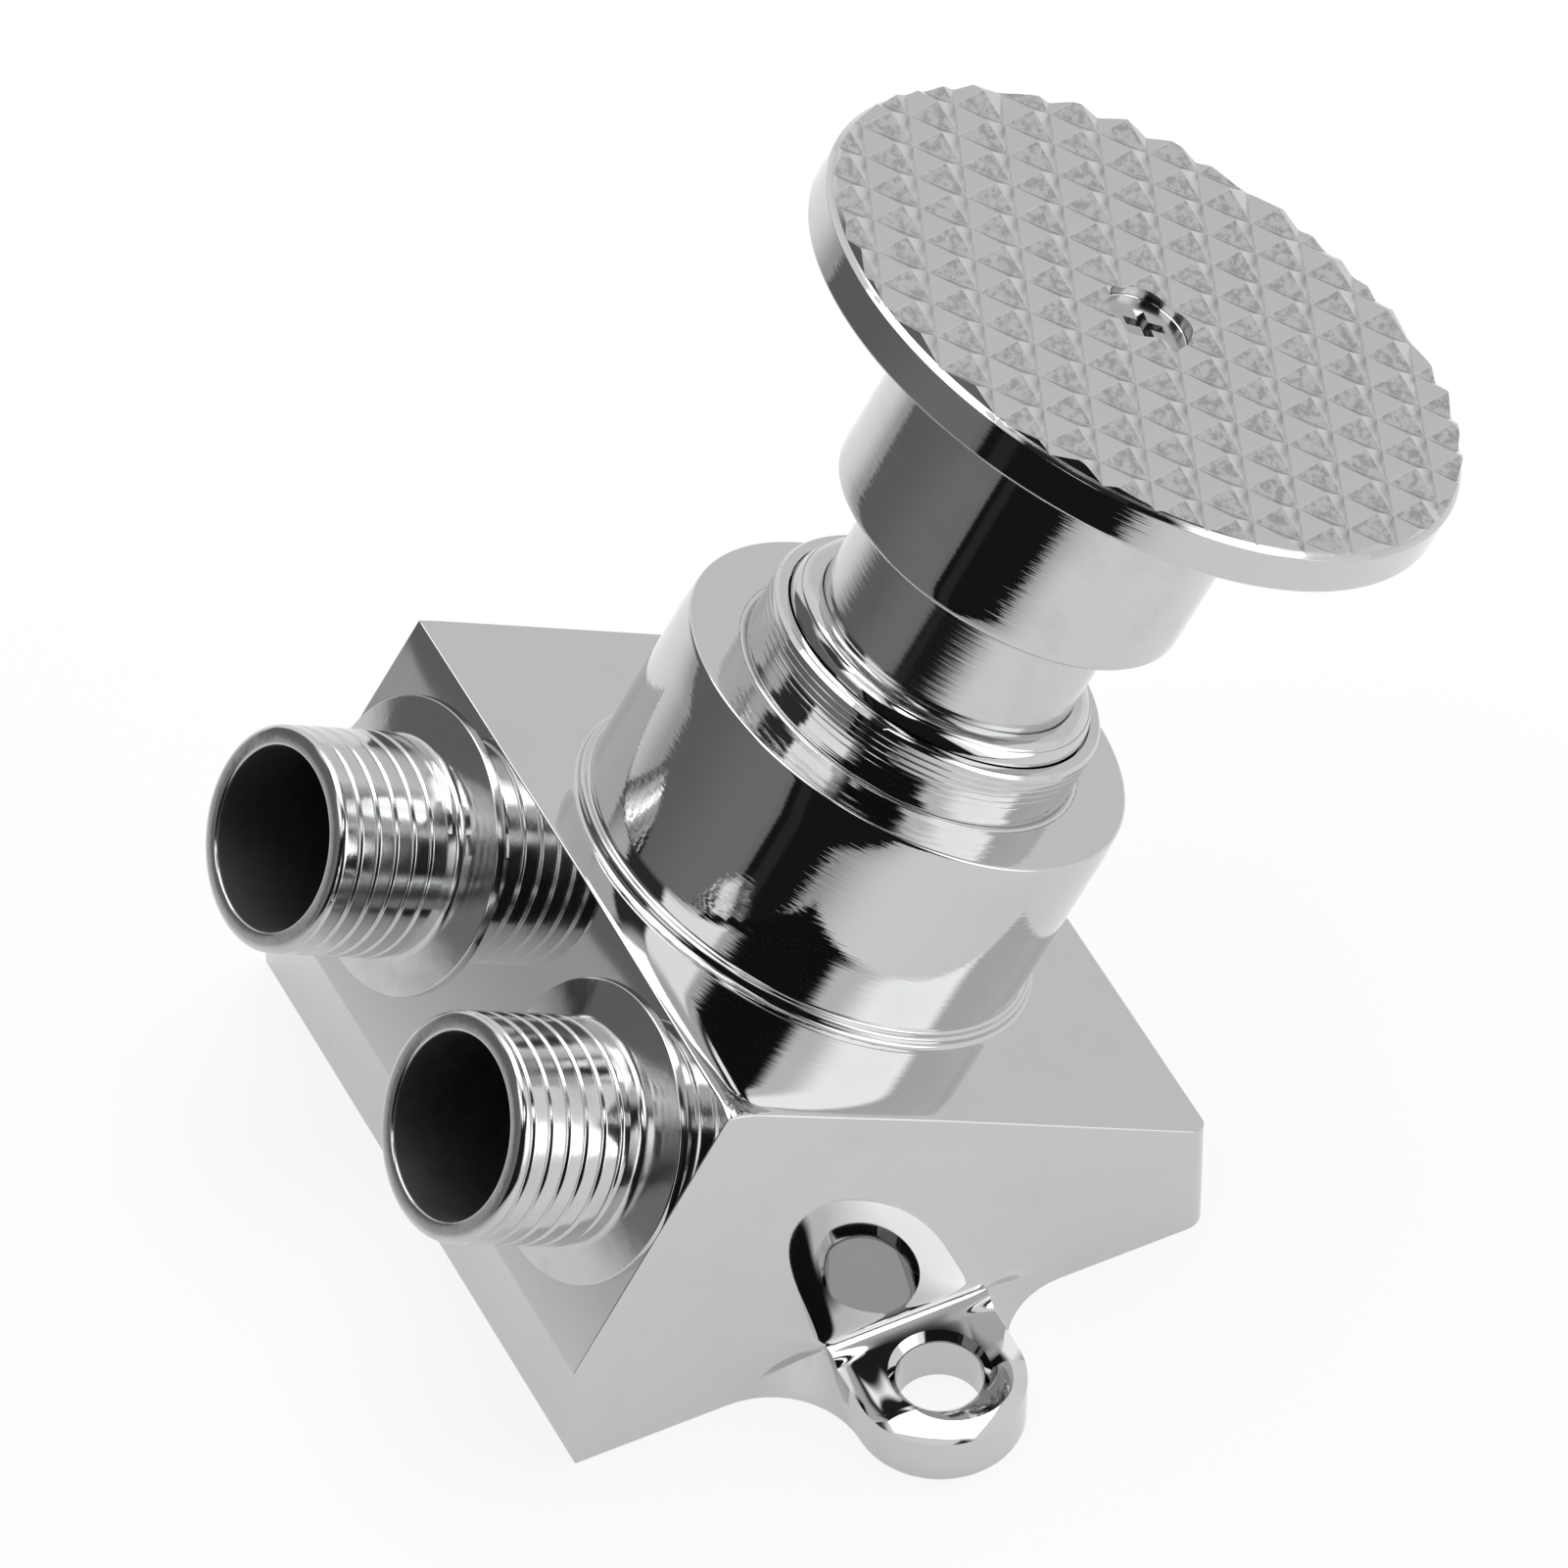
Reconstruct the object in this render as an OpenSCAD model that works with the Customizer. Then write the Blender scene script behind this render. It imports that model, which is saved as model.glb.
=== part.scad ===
// Foot pedal tap valve: a self-closing water valve, bolted to the floor and worked by foot.
// Millimetres, +Z up. The origin lies midway between the two floor bolts, on the base plane.
// The spindle leans towards the toe. Its frame is tilted about Y, and z = 0 there is the boss top.

/* [Body] */
// Length of the base, from the port end to the toe
base_len = 65; // [60:1:72]
// Width of the base between the lugs
base_w = 67; // [64:1:80]
// Height of the upright band at both ends
band_h = 12.5; // [11:0.5:16]
// Lean of the spindle towards the toe
tilt = 30; // [28:1:32]
// Radius of the upright corners at the toe
toe_r = 4; // [2:0.5:8]
// Distance of the spindle from the ridge, along the top face
boss_back = 27; // [26:0.5:30]
// Height of the boss above the top face
boss_h = 21; // [19:0.5:26]
// Wall of the boss outside the collar thread
boss_wall = 5.85; // [4:0.05:6.5]
// Width of the small bead at the foot of the boss
bead_w = 0.8; // [0.4:0.1:1.2]
// Height of that bead
bead_h = 1; // [0.6:0.1:2]
// Least wall between the valve chamber and the base
base_wall = 3; // [2:0.25:4]

/* [Lugs] */
// Distance of each bolt hole from the body's side
lug_reach = 9; // [8:0.5:14]
// Diameter of the bolt holes
bolt_hole_d = 8; // [5:0.5:9]
// Metal around each bolt hole
lug_rim = 4; // [3:0.5:6]
// Thickness of the lugs at their edge
lug_t = 4.8; // [4:0.2:8]
// Rise of the lugs' crowned top above that edge
lug_crown = 0.9; // [0.3:0.1:1.5]
// Radius of the hollow where a lug's top meets the side
lug_root = 2; // [1:0.25:3]
// Reach of the flare where a lug meets the side
lug_flare = 9; // [5:0.5:11]
// Bevel of the bolt holes' upper rim
hole_bevel = 0.6; // [0.2:0.1:1]

/* [Ports] */
// Distance between the two ports
port_spacing = 38; // [35:0.5:42]
// Depth of the port axes below the top face
port_drop = 15.7; // [15:0.1:17]
// Outside diameter of the pipe thread
thread_d = 20.955; // [20.955, 26.441]
// Bore of the ports
port_bore_d = 17; // [14:0.5:17.5]
// Length of each nipple outside the body
nipple_out = 15.75; // [12:0.25:25]
// Length of the threaded stretch
thread_len = 12; // [8:0.5:13]
// Depth of the groove behind the thread
runout_depth = 0.9; // [0.4:0.1:1.2]
// Bevel at the mouth of each nipple
nipple_bevel = 0.9; // [0.4:0.1:1.2]
// Width of the nipple flange outside the thread
flange_rim = 3.45; // [2:0.05:4]
// Thickness of the nipple flange
flange_t = 0.9; // [0.6:0.1:2]
// Depth of the nipple inside the body
nipple_in = 9; // [6:0.5:10]

/* [Neck] */
// Outside diameter of the sliding sleeve
sleeve_d = 25.6; // [25:0.1:27]
// Wall of the sliding sleeve
sleeve_wall = 1.5; // [1:0.1:2]
// Wall of the guide bush around the sleeve
bush_wall = 1.5; // [1.2:0.1:2]
// Wall of the threaded collar around the bush
collar_wall = 2.25; // [1.8:0.05:2.6]
// Height of the threaded collar above the boss
collar_h = 6; // [5:0.5:9]
// Height of the guide bush above the collar
bush_rise = 2; // [1.5:0.1:3]
// Length of the guide bush
bush_len = 11; // [10:0.5:13]
// Height of the bush flange inside the collar
bush_flange_h = 4; // [3.6:0.1:4.6]
// Width of the open ring between bush and collar
ring_gap = 0.3; // [0.2:0.05:0.5]
// Width of the bush flange outside the bush
bush_flange_w = 0.9; // [0.6:0.1:1.1]
// Height of the shoulder ring at the foot of the collar
shoulder_h = 0.9; // [0.5:0.1:1.5]
// Width of that shoulder ring
shoulder_w = 0.7; // [0.4:0.1:1.2]

/* [Pedal] */
// Length of sleeve seen between bush and hub
neck_len = 11.7; // [9.5:0.1:16]
// Wall of the hub around the sleeve
hub_wall = 4.7; // [3:0.1:6]
// Height of the hub
hub_h = 22.5; // [20:0.5:28]
// Depth of the hollow under the hub
hub_hollow = 2; // [1:0.25:3]
// Depth of the sleeve's socket in the hub
sleeve_socket = 8.3; // [6:0.1:10]
// Diameter of the pedal disc
disc_d = 64; // [50:1:80]
// Thickness of the pedal disc with its tread
disc_t = 5.2; // [4.6:0.1:7]
// Bevel of the disc's upper edge
disc_bevel = 0.6; // [0.3:0.1:1]
// Spacing of the tread's grooves
tread_pitch = 5.08; // [3.5:0.02:7]
// Depth of the tread's grooves
tread_depth = 1.1; // [0.6:0.1:1.4]
// Turn of the tread on the disc
tread_turn = 64; // [0:1:90]
// Distance of the first groove from the centre, along that turn
tread_shift = -1.55; // [-3:0.05:3]
// Distance of the first groove from the centre, across that turn
tread_cross_shift = -2.25; // [-3:0.05:3]

/* [Pedal screw] */
// Diameter of the pedal screw's thread
screw_d = 4; // [3:0.5:4.5]
// Diameter of its countersunk head
screw_head_d = 8.4; // [7:0.1:9]
// Length of the screw
screw_len = 16; // [14:0.5:18]
// Depth of the head below the tread's peaks
screw_sink = 0.4; // [0.2:0.1:0.8]
// Width across the cross recess
recess_w = 4.4; // [3.5:0.1:5]
// Depth of the cross recess
recess_depth = 1.5; // [1:0.1:1.8]

/* [Valve] */
// Travel of the pedal
travel = 8; // [6:0.25:8.5]
// Diameter of the spindle
spindle_d = 8; // [7:0.25:9]
// Length of the spindle inside the hub
spindle_socket = 8; // [6:0.5:9]
// Diameter of the thin lower spindle
tail_d = 6; // [5:0.25:7]
// Thread at the spindle's lower end
tail_thread_d = 4; // [3:0.5:4.5]
// Thickness of the bonnet's floor
floor_t = 5.5; // [5.2:0.1:7]
// Bore of the seat ring
seat_bore_d = 11; // [10:0.25:11.5]
// Thickness of the seat ring
seat_t = 2.2; // [2:0.1:3]
// Height of the seat ring's lip
lip_h = 0.6; // [0.4:0.1:1]
// Width of that lip
lip_w = 0.8; // [0.5:0.1:1]
// Thickness of the rubber washer
washer_t = 1.5; // [1:0.1:2]
// Thickness of the poppet plate
poppet_t = 1.5; // [1.2:0.1:2]
// Height of the poppet nut
nut_h = 2.2; // [1.8:0.1:2.6]
// Width of the poppet nut across its flats
nut_flats = 7; // [6:0.25:7.5]
// Room around the poppet in its chamber
poppet_room = 1.7; // [1.2:0.1:2]
// Width of the ledge under the bonnet
ledge_w = 5.65; // [5:0.05:6.5]
// Diameter of the water way into the lower chamber
inlet_way_d = 7; // [5:0.25:7.5]
// Diameter of the slanted water way out of the upper chamber
outlet_way_d = 6; // [4:0.25:6.25]

/* [Spring] */
// Diameter of the spring wire
wire_d = 1.8; // [1.2:0.1:2]
// Number of curls
curls = 10; // [7:1:12]
// Room between the spring and the sleeve
spring_room = 1.3; // [0.8:0.1:1.6]
// Thickness of the two spring washers
spring_washer_t = 1; // [0.8:0.1:1.4]

/* [Seals] */
// Thickness of the flat gaskets
gasket_t = 0.8; // [0.5:0.1:1.2]
// Thickness of the round seals
seal_d = 1.8; // [1.4:0.1:2]

/* [Fits] */
// Radial clearance of a sliding fit
run_fit = 0.05; // [0.02:0.01:0.08]
// Radial clearance of pieces that are screwed or pressed together
set_fit = 0.03; // [0.02:0.01:0.06]
// Gap left at the end of the pedal's travel
stop_gap = 0.4; // [0.3:0.05:0.6]

/* [Hidden] */
$fn = 64;

// Overlap of solids that are cut or joined
lap = 1;
chrome = "silver";
brass = "goldenrod";
rubber = [0.12, 0.12, 0.13];
steel = "slategray";

// Wedge: the front slope stands square to the top face
front_len = base_len * sin(tilt);
ridge = [-base_len / 2 + front_len * sin(tilt), band_h + front_len * cos(tilt)];
boss_top = [ridge[0] + boss_back * cos(tilt) + boss_h * sin(tilt),
    ridge[1] - boss_back * sin(tilt) + boss_h * cos(tilt)];

// Radii, from the sleeve outwards
sleeve_r = sleeve_d / 2;
sleeve_in_r = sleeve_r - sleeve_wall;
bush_r = sleeve_r + run_fit + bush_wall;
bush_flange_r = bush_r + bush_flange_w;
sleeve_seal_t = seal_d - bush_wall / 4;
collar_in_r = bush_r + set_fit;
collar_r = collar_in_r + collar_wall;
boss_r = collar_r + set_fit + boss_wall;
hub_r = sleeve_r + hub_wall;
disc_r = disc_d / 2;
spindle_r = spindle_d / 2;
tail_r = tail_d / 2;
screw_r = screw_d / 2;

// Lugs
lug_r = bolt_hole_d / 2 + lug_rim;
bolt_y = base_w / 2 + lug_reach;
flare_grow = 1.35;
flare_start = 1.02;
flare_h = lug_t - lug_crown;
crown_r = (lug_r * lug_r + lug_crown * lug_crown) / (2 * lug_crown);
crown_mid = [0, lug_t + lug_crown - crown_r];
crown_half = asin(lug_r / crown_r);

// Heights on the spindle, from the boss top upwards
collar_top = collar_h;
bush_top = collar_top + bush_rise;
bush_seat = collar_top - bush_flange_h;
bush_foot = bush_top - bush_len;
hub_foot = bush_top + neck_len;
hub_top = hub_foot + hub_h;
hub_web = hub_foot + hub_hollow + sleeve_socket;
disc_top = hub_top + disc_t;
spindle_top = hub_web + spindle_socket;
screw_top = disc_top - screw_sink;

// Heights on the spindle, from the boss top downwards
sleeve_foot = bush_foot - stop_gap;
spring_floor = sleeve_foot - travel - stop_gap;
floor_top = spring_floor - spring_washer_t;
bonnet_foot = floor_top - floor_t;
bonnet_ledge = bonnet_foot - gasket_t;

// Heights on the spindle, from the base upwards
nut_r = nut_flats / sqrt(3);
pocket_r = nut_r + stop_gap * 2;
pocket_foot = -boss_top[1] / cos(tilt) + pocket_r * tan(tilt) + base_wall / cos(tilt);
spindle_foot = pocket_foot + stop_gap + travel;
nut_foot = spindle_foot + stop_gap;
poppet_foot = nut_foot + nut_h;
poppet_top = poppet_foot + poppet_t;
washer_top = poppet_top + washer_t;
seat_foot = washer_top + lip_h;
seat_top = seat_foot + seat_t;
chamber_foot = poppet_foot - travel - stop_gap;

// Valve chambers
lip_r = seat_bore_d / 2 + lip_w;
washer_r = lip_r + stop_gap;
poppet_r = washer_r + stop_gap / 2;
lower_r = poppet_r + poppet_room;
upper_r = collar_r - ledge_w;
lower_mid = (seat_foot + chamber_foot) / 2;
upper_mid = (bonnet_ledge + seat_top) / 2;
seat_r = upper_r - set_fit;

// Ports, in the tilted frame
thread_r = thread_d / 2;
port_bore_r = port_bore_d / 2;
port_y = port_spacing / 2;
port_z = -boss_h - port_drop;
port_face = -boss_back;
socket_r = thread_r + set_fit;
socket_end = nipple_in + gasket_t;
way_step = 0.2;
port_way_r = port_bore_r - way_step;
port_way_end = boss_back + port_way_r / 2;
flange_r = thread_r + flange_rim;

// Spring
wire_r = wire_d / 2;
spring_r = sleeve_in_r - spring_room - wire_r;
spring_washer_r = sleeve_in_r - stop_gap;
spring_ceiling = hub_web - spring_washer_t;
rings_per_curl = 8;
wire_sides = 6;
spring_end_gap = 0.2;

// Points of an arc about a centre, from one angle to another
function arc(c, r, from, to, steps = 6) =
    [for (i = [0:steps]) c + r * [cos(from + (to - from) * i / steps), sin(from + (to - from) * i / steps)]];

// Places what is drawn about the spindle, with its zero at the boss top
module on_spindle() {
    translate([boss_top[0], 0, boss_top[1]])
        rotate([0, tilt, 0])
            children();
}

// Places what is drawn about a port: +Z leads out of the body and z = 0 is the front slope
module on_port(side) {
    on_spindle()
        translate([port_face, side * port_y, port_z])
            rotate([0, -90, 0])
                children();
}

// Round piece with a bore
module ring(outer, inner, foot, top) {
    difference() {
        translate([0, 0, foot])
            cylinder(r = outer, h = top - foot);
        translate([0, 0, foot - lap])
            cylinder(r = inner, h = top - foot + 2 * lap);
    }
}

// Round seal: outer and inner edges are cut flat where it bears
module seal(inner, width, mid) {
    rotate_extrude()
        translate([inner, mid - width / 2])
            square([width, width]);
}

// Long section of the wedge
module wedge_section() {
    polygon([
        [-base_len / 2, 0],
        [base_len / 2, 0],
        [base_len / 2, band_h],
        ridge,
        [-base_len / 2, band_h]]);
}

// Plan of the wedge, rounded at the toe
module wedge_plan() {
    corner = [base_len / 2 - toe_r, base_w / 2 - toe_r];
    polygon(concat(
        [[-base_len / 2, base_w / 2], [-base_len / 2, -base_w / 2]],
        arc([corner[0], -corner[1]], toe_r, -90, 0),
        arc(corner, toe_r, 0, 90)));
}

module wedge() {
    intersection() {
        translate([0, base_w / 2 + lap, 0])
            rotate([90, 0, 0])
                linear_extrude(base_w + 2 * lap)
                    wedge_section();
        linear_extrude(ridge[1] + lap)
            wedge_plan();
    }
}

module boss() {
    bevel = bead_w / 2;
    rotate_extrude()
        polygon([
            [0, -boss_h - bead_h],
            [boss_r + bead_w, -boss_h - bead_h],
            [boss_r + bead_w, -boss_h + bead_h - bevel],
            [boss_r + bead_w - bevel, -boss_h + bead_h],
            [boss_r, -boss_h + bead_h],
            [boss_r, -bevel],
            [boss_r - bevel, 0],
            [0, 0]]);
}

// Flared web between a lug and the side, hollowed by a widening cone
module flare(side) {
    far = lug_r + lug_flare;
    difference() {
        translate([side > 0 ? lug_r - lap : -far, -base_w / 2 - lug_flare, 0])
            cube([lug_flare + lap, lug_flare + lap, flare_h]);
        translate([side * far, -base_w / 2 - lug_flare, 0])
            cylinder(r1 = lug_flare * flare_start, r2 = lug_flare * flare_grow, h = flare_h + lap / 4);
    }
}

// Hollow strip between a lug's top and the side
module root_strip() {
    difference() {
        translate([-lug_r, -base_w / 2 - lug_root, lug_t - lug_crown])
            cube([2 * lug_r, lug_root + lap, lug_crown + lug_root]);
        translate([-lug_r - lap, -base_w / 2 - lug_root, lug_t + lug_root])
            rotate([0, 90, 0])
                cylinder(r = lug_root, h = 2 * (lug_r + lap));
    }
}

// Lug on the -Y side: a tongue with a round end and a crowned top
module lug() {
    translate([0, -bolt_y, 0])
        rotate_extrude()
            polygon(concat([[0, 0], [lug_r, 0]], arc(crown_mid, crown_r, 90 - crown_half, 90)));
    translate([0, -base_w / 2 + lap, 0])
        rotate([90, 0, 0])
            linear_extrude(lug_reach + lap)
                polygon(concat(
                    [[-lug_r, 0], [lug_r, 0]],
                    arc(crown_mid, crown_r, 90 - crown_half, 90 + crown_half, 12)));
    root_strip();
    flare(-1);
    flare(1);
}

module bolt_hole() {
    lug_top = lug_t + lug_crown;
    translate([0, -bolt_y, -lap])
        cylinder(d = bolt_hole_d, h = lug_top + 2 * lap);
    translate([0, -bolt_y, lug_top - hole_bevel])
        cylinder(d1 = bolt_hole_d, d2 = bolt_hole_d + 4 * hole_bevel, h = 2 * hole_bevel);
}

// Both lugs, or both bolt holes
module both_sides() {
    children();
    mirror([0, 1, 0])
        children();
}

// Bore of the boss, the two chambers and the pocket for the spindle's end
module valve_bore() {
    rotate_extrude()
        polygon([
            [0, lap],
            [collar_r + set_fit, lap],
            [collar_r + set_fit, bonnet_ledge],
            [upper_r, bonnet_ledge],
            [upper_r, seat_foot],
            [lower_r, seat_foot],
            [lower_r, chamber_foot],
            [pocket_r, chamber_foot],
            [pocket_r, pocket_foot],
            [0, pocket_foot]]);
}

// Socket for a nipple and the water way behind it
module port_bore() {
    translate([0, 0, -socket_end])
        cylinder(r = socket_r, h = socket_end + lap);
    translate([0, 0, -port_way_end])
        cylinder(r = port_way_r, h = port_way_end);
}

// Water ways from the ports to the two chambers
module water_ways() {
    rise = upper_mid - port_z - port_way_r / 2;
    run = port_y - upper_r / 2;
    translate([0, -port_y, lower_mid])
        rotate([-90, 0, 0])
            cylinder(d = inlet_way_d, h = port_y);
    translate([0, port_y, upper_mid - rise])
        rotate([atan2(run, rise), 0, 0])
            cylinder(d = outlet_way_d, h = norm([run, rise]));
}

module valve_body() {
    color(chrome)
        difference() {
            union() {
                wedge();
                on_spindle()
                    boss();
                both_sides()
                    lug();
            }
            both_sides()
                bolt_hole();
            on_spindle()
                valve_bore();
            on_spindle()
                water_ways();
            for (side = [-1, 1])
                on_port(side)
                    port_bore();
        }
}

// Screwed-in hose nipple with its flange; the thread is its outer cylinder
module nipple(side) {
    runout_r = thread_r - runout_depth;
    thread_foot = nipple_out - thread_len;
    on_port(side)
        color(chrome)
            rotate_extrude()
                polygon([
                    [port_bore_r, -nipple_in],
                    [thread_r, -nipple_in],
                    [thread_r, 0],
                    [flange_r, 0],
                    [flange_r, flange_t],
                    [runout_r, flange_t],
                    [runout_r, thread_foot - runout_depth],
                    [thread_r, thread_foot],
                    [thread_r, nipple_out - nipple_bevel],
                    [thread_r - nipple_bevel, nipple_out],
                    [port_bore_r, nipple_out]]);
}

module inlet_nipple() {
    nipple(-1);
}

module outlet_nipple() {
    nipple(1);
}

module nipple_seals() {
    color(rubber)
        for (side = [-1, 1])
            on_port(side)
                ring(thread_r, port_bore_r + stop_gap, -socket_end, -nipple_in);
}

// Threaded collar with the spring chamber and the floor that guides the spindle
module bonnet() {
    bevel = ring_gap;
    seal_out = spindle_r + run_fit + seal_d;
    pitch = floor_t / 2;
    on_spindle()
        color(chrome)
            difference() {
                rotate_extrude()
                    polygon([
                        [spindle_r + run_fit, bonnet_foot],
                        [collar_r, bonnet_foot],
                        [collar_r, 0],
                        [collar_r + shoulder_w, 0],
                        [collar_r + shoulder_w, shoulder_h / 2],
                        [collar_r, shoulder_h],
                        [collar_r, collar_top - bevel],
                        [collar_r - bevel, collar_top],
                        [bush_flange_r + ring_gap, collar_top],
                        [bush_flange_r + ring_gap, bush_seat],
                        [collar_in_r, bush_seat],
                        [collar_in_r, floor_top],
                        [spindle_r + run_fit, floor_top]]);
                for (i = [0, 1])
                    translate([0, 0, bonnet_foot + pitch * (i + 0.5)])
                        ring(seal_out + set_fit, spindle_r - lap, -seal_d / 2 - set_fit, seal_d / 2 + set_fit);
            }
}

module bonnet_gasket() {
    on_spindle()
        color(rubber)
            ring(collar_r, upper_r, bonnet_ledge, bonnet_foot);
}

// Flanged bush that guides the sleeve, with a rounded shoulder above the collar
module guide_bush() {
    lip_w = bush_wall / 4;
    round_w = bush_flange_r - sleeve_r - run_fit - lip_w;
    round_c = [bush_flange_r - round_w, bush_top - round_w];
    groove_mid = (bush_seat + collar_top) / 2;
    on_spindle()
        color(chrome)
            difference() {
                rotate_extrude()
                    polygon(concat(
                        [[sleeve_r + run_fit, bush_foot],
                        [bush_r, bush_foot],
                        [bush_r, bush_seat],
                        [bush_flange_r, bush_seat]],
                        arc(round_c, round_w, 0, 90),
                        [[sleeve_r + run_fit, bush_top]]));
                ring(sleeve_r + run_fit + sleeve_seal_t + set_fit, sleeve_r - lap,
                    groove_mid - seal_d / 2 - set_fit, groove_mid + seal_d / 2 + set_fit);
            }
}

module sleeve_seal() {
    on_spindle()
        color(rubber)
            ring(sleeve_r + run_fit + sleeve_seal_t, sleeve_r + run_fit,
                (bush_seat + collar_top) / 2 - seal_d / 2, (bush_seat + collar_top) / 2 + seal_d / 2);
}

module stem_seals() {
    on_spindle()
        color(rubber)
            for (i = [0, 1])
                seal(spindle_r + run_fit, seal_d, bonnet_foot + floor_t / 2 * (i + 0.5));
}

// Seat ring with the lip that the rubber washer closes against
module seat_ring() {
    on_spindle()
        color(brass)
            difference() {
                rotate_extrude()
                    polygon([
                        [seat_bore_d / 2, washer_top],
                        [lip_r, washer_top],
                        [lip_r + lip_h / 2, seat_foot],
                        [seat_r, seat_foot],
                        [seat_r, seat_top],
                        [seat_bore_d / 2, seat_top]]);
                seat_groove(set_fit);
            }
}

// Groove around the seat ring, or with no room the seal that fills it
module seat_groove(room) {
    half = seat_t / 4;
    mid = (seat_foot + seat_top) / 2;
    ring(seat_r + (room > 0 ? lap : 0), seat_r - 2 * half - room, mid - half - room, mid + half + room);
}

module seat_seal() {
    on_spindle()
        color(rubber)
            seat_groove(0);
}

module spring_seat() {
    on_spindle()
        color(steel)
            ring(collar_in_r - stop_gap, spindle_r + stop_gap, floor_top, spring_floor);
}

module spring_cap() {
    on_spindle()
        color(steel)
            ring(spring_washer_r, spindle_r + stop_gap, spring_ceiling, hub_web);
}

// Spring: one tube of rings along a helix, with straight ends
spring_foot = spring_floor + wire_r + spring_end_gap;
spring_rise = spring_ceiling - wire_r - spring_end_gap - spring_foot;
ring_count = curls * rings_per_curl;
slope_len = norm([2 * PI * spring_r * curls, spring_rise]);
climb = spring_rise / slope_len;

// Outward, onward and upward directions of the wire at a turn
function out_dir(turn) = [cos(turn), sin(turn), 0];
function on_dir(turn) = sqrt(1 - climb * climb) * [-sin(turn), cos(turn), 0] + [0, 0, climb];
function up_dir(turn) = cross(out_dir(turn), on_dir(turn));
function wire_mid(i) = let (turn = 360 * i / rings_per_curl)
    spring_r * out_dir(turn) + [0, 0, spring_foot + spring_rise * i / ring_count];
function wire_ring(i, ahead) = let (turn = 360 * i / rings_per_curl)
    [for (k = [0:wire_sides - 1]) let (a = 360 * k / wire_sides)
        wire_mid(i) + ahead * on_dir(turn) + wire_r * (cos(a) * out_dir(turn) + sin(a) * up_dir(turn))];

// Least distance between stretches of the wire that are half a curl or more apart
function wire_gap() = min([for (i = [0:ring_count]) for (j = [i + rings_per_curl / 2:1:ring_count])
    norm(wire_mid(i) - wire_mid(j))]) - wire_d;

module return_spring() {
    rings = concat(
        [wire_ring(0, -wire_d)],
        [for (i = [0:ring_count]) wire_ring(i, 0)],
        [wire_ring(ring_count, wire_d)]);
    last = len(rings) - 1;
    sides = [for (i = [0:last - 1]) for (k = [0:wire_sides - 1])
        let (a = i * wire_sides + k, b = i * wire_sides + (k + 1) % wire_sides)
            each [[a, a + wire_sides, b], [b, a + wire_sides, b + wire_sides]]];
    caps = [for (k = [1:wire_sides - 2])
        each [[0, k, k + 1], [last * wire_sides, last * wire_sides + k + 1, last * wire_sides + k]]];
    echo(spring_gap_mm = wire_gap());
    on_spindle()
        color(steel)
            polyhedron([for (r = rings) each r], concat(sides, caps));
}

// Ridges of the tread along one direction: a saw-toothed section drawn out straight
module tread_ridges(turn, shift) {
    count = ceil(disc_r / tread_pitch) + 2;
    teeth = [for (i = [-count:count]) each [
        [shift + i * tread_pitch, disc_top - tread_depth],
        [shift + (i + 0.5) * tread_pitch, disc_top]]];
    rotate([0, 0, turn])
        translate([0, disc_r + lap, 0])
            rotate([90, 0, 0])
                linear_extrude(2 * (disc_r + lap))
                    polygon(concat(
                        teeth,
                        [[shift + (count + 1) * tread_pitch, hub_top - lap],
                        [shift - count * tread_pitch, hub_top - lap]]));
}

// Round plate whose top is cut into pyramids by two sets of V grooves
module pedal_disc() {
    head_h = (screw_head_d - screw_d) / 2;
    on_spindle()
        color(chrome)
            difference() {
                intersection() {
                    rotate_extrude()
                        polygon([
                            [0, hub_top],
                            [disc_r, hub_top],
                            [disc_r, disc_top - disc_bevel],
                            [disc_r - disc_bevel - lap, disc_top + lap],
                            [0, disc_top + lap]]);
                    tread_ridges(tread_turn, tread_shift);
                    tread_ridges(tread_turn - 90, tread_cross_shift);
                }
                translate([0, 0, hub_top - lap])
                    cylinder(r = screw_r + stop_gap / 2, h = disc_t + 2 * lap);
                translate([0, 0, screw_top - head_h])
                    cylinder(d1 = screw_d + 2 * set_fit, d2 = screw_head_d + 2 * set_fit, h = head_h);
                translate([0, 0, screw_top])
                    cylinder(d = screw_head_d + 2 * set_fit, h = screw_sink + lap);
            }
}

// Hub with the sleeve's socket below and the spindle's socket in its web
module pedal_hub() {
    bevel = stop_gap;
    hollow_r = sleeve_r + hub_wall / 4;
    on_spindle()
        color(chrome)
            rotate_extrude()
                polygon([
                    [hollow_r, hub_foot],
                    [hub_r - bevel, hub_foot],
                    [hub_r, hub_foot + bevel],
                    [hub_r, hub_top],
                    [screw_r + stop_gap / 2, hub_top],
                    [screw_r + stop_gap / 2, spindle_top],
                    [spindle_r + set_fit, spindle_top],
                    [spindle_r + set_fit, hub_web],
                    [sleeve_r + set_fit, hub_web],
                    [sleeve_r + set_fit, hub_foot + hub_hollow],
                    [hollow_r, hub_foot + hub_hollow]]);
}

// Countersunk screw with a cross recess
module pedal_screw() {
    head_h = (screw_head_d - screw_d) / 2;
    blade = recess_w / 4;
    on_spindle()
        color(steel)
            difference() {
                rotate_extrude()
                    polygon([
                        [0, screw_top - screw_len],
                        [screw_r - set_fit, screw_top - screw_len],
                        [screw_r - set_fit, screw_top - head_h],
                        [screw_head_d / 2 - set_fit, screw_top],
                        [0, screw_top]]);
                for (turn = [0, 90])
                    rotate([0, 0, tread_turn + turn])
                        translate([-recess_w / 2, -blade / 2, screw_top - recess_depth])
                            cube([recess_w, blade, recess_depth + lap]);
            }
}

module stem_sleeve() {
    on_spindle()
        color(chrome)
            ring(sleeve_r, sleeve_in_r, sleeve_foot, hub_web);
}

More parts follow.
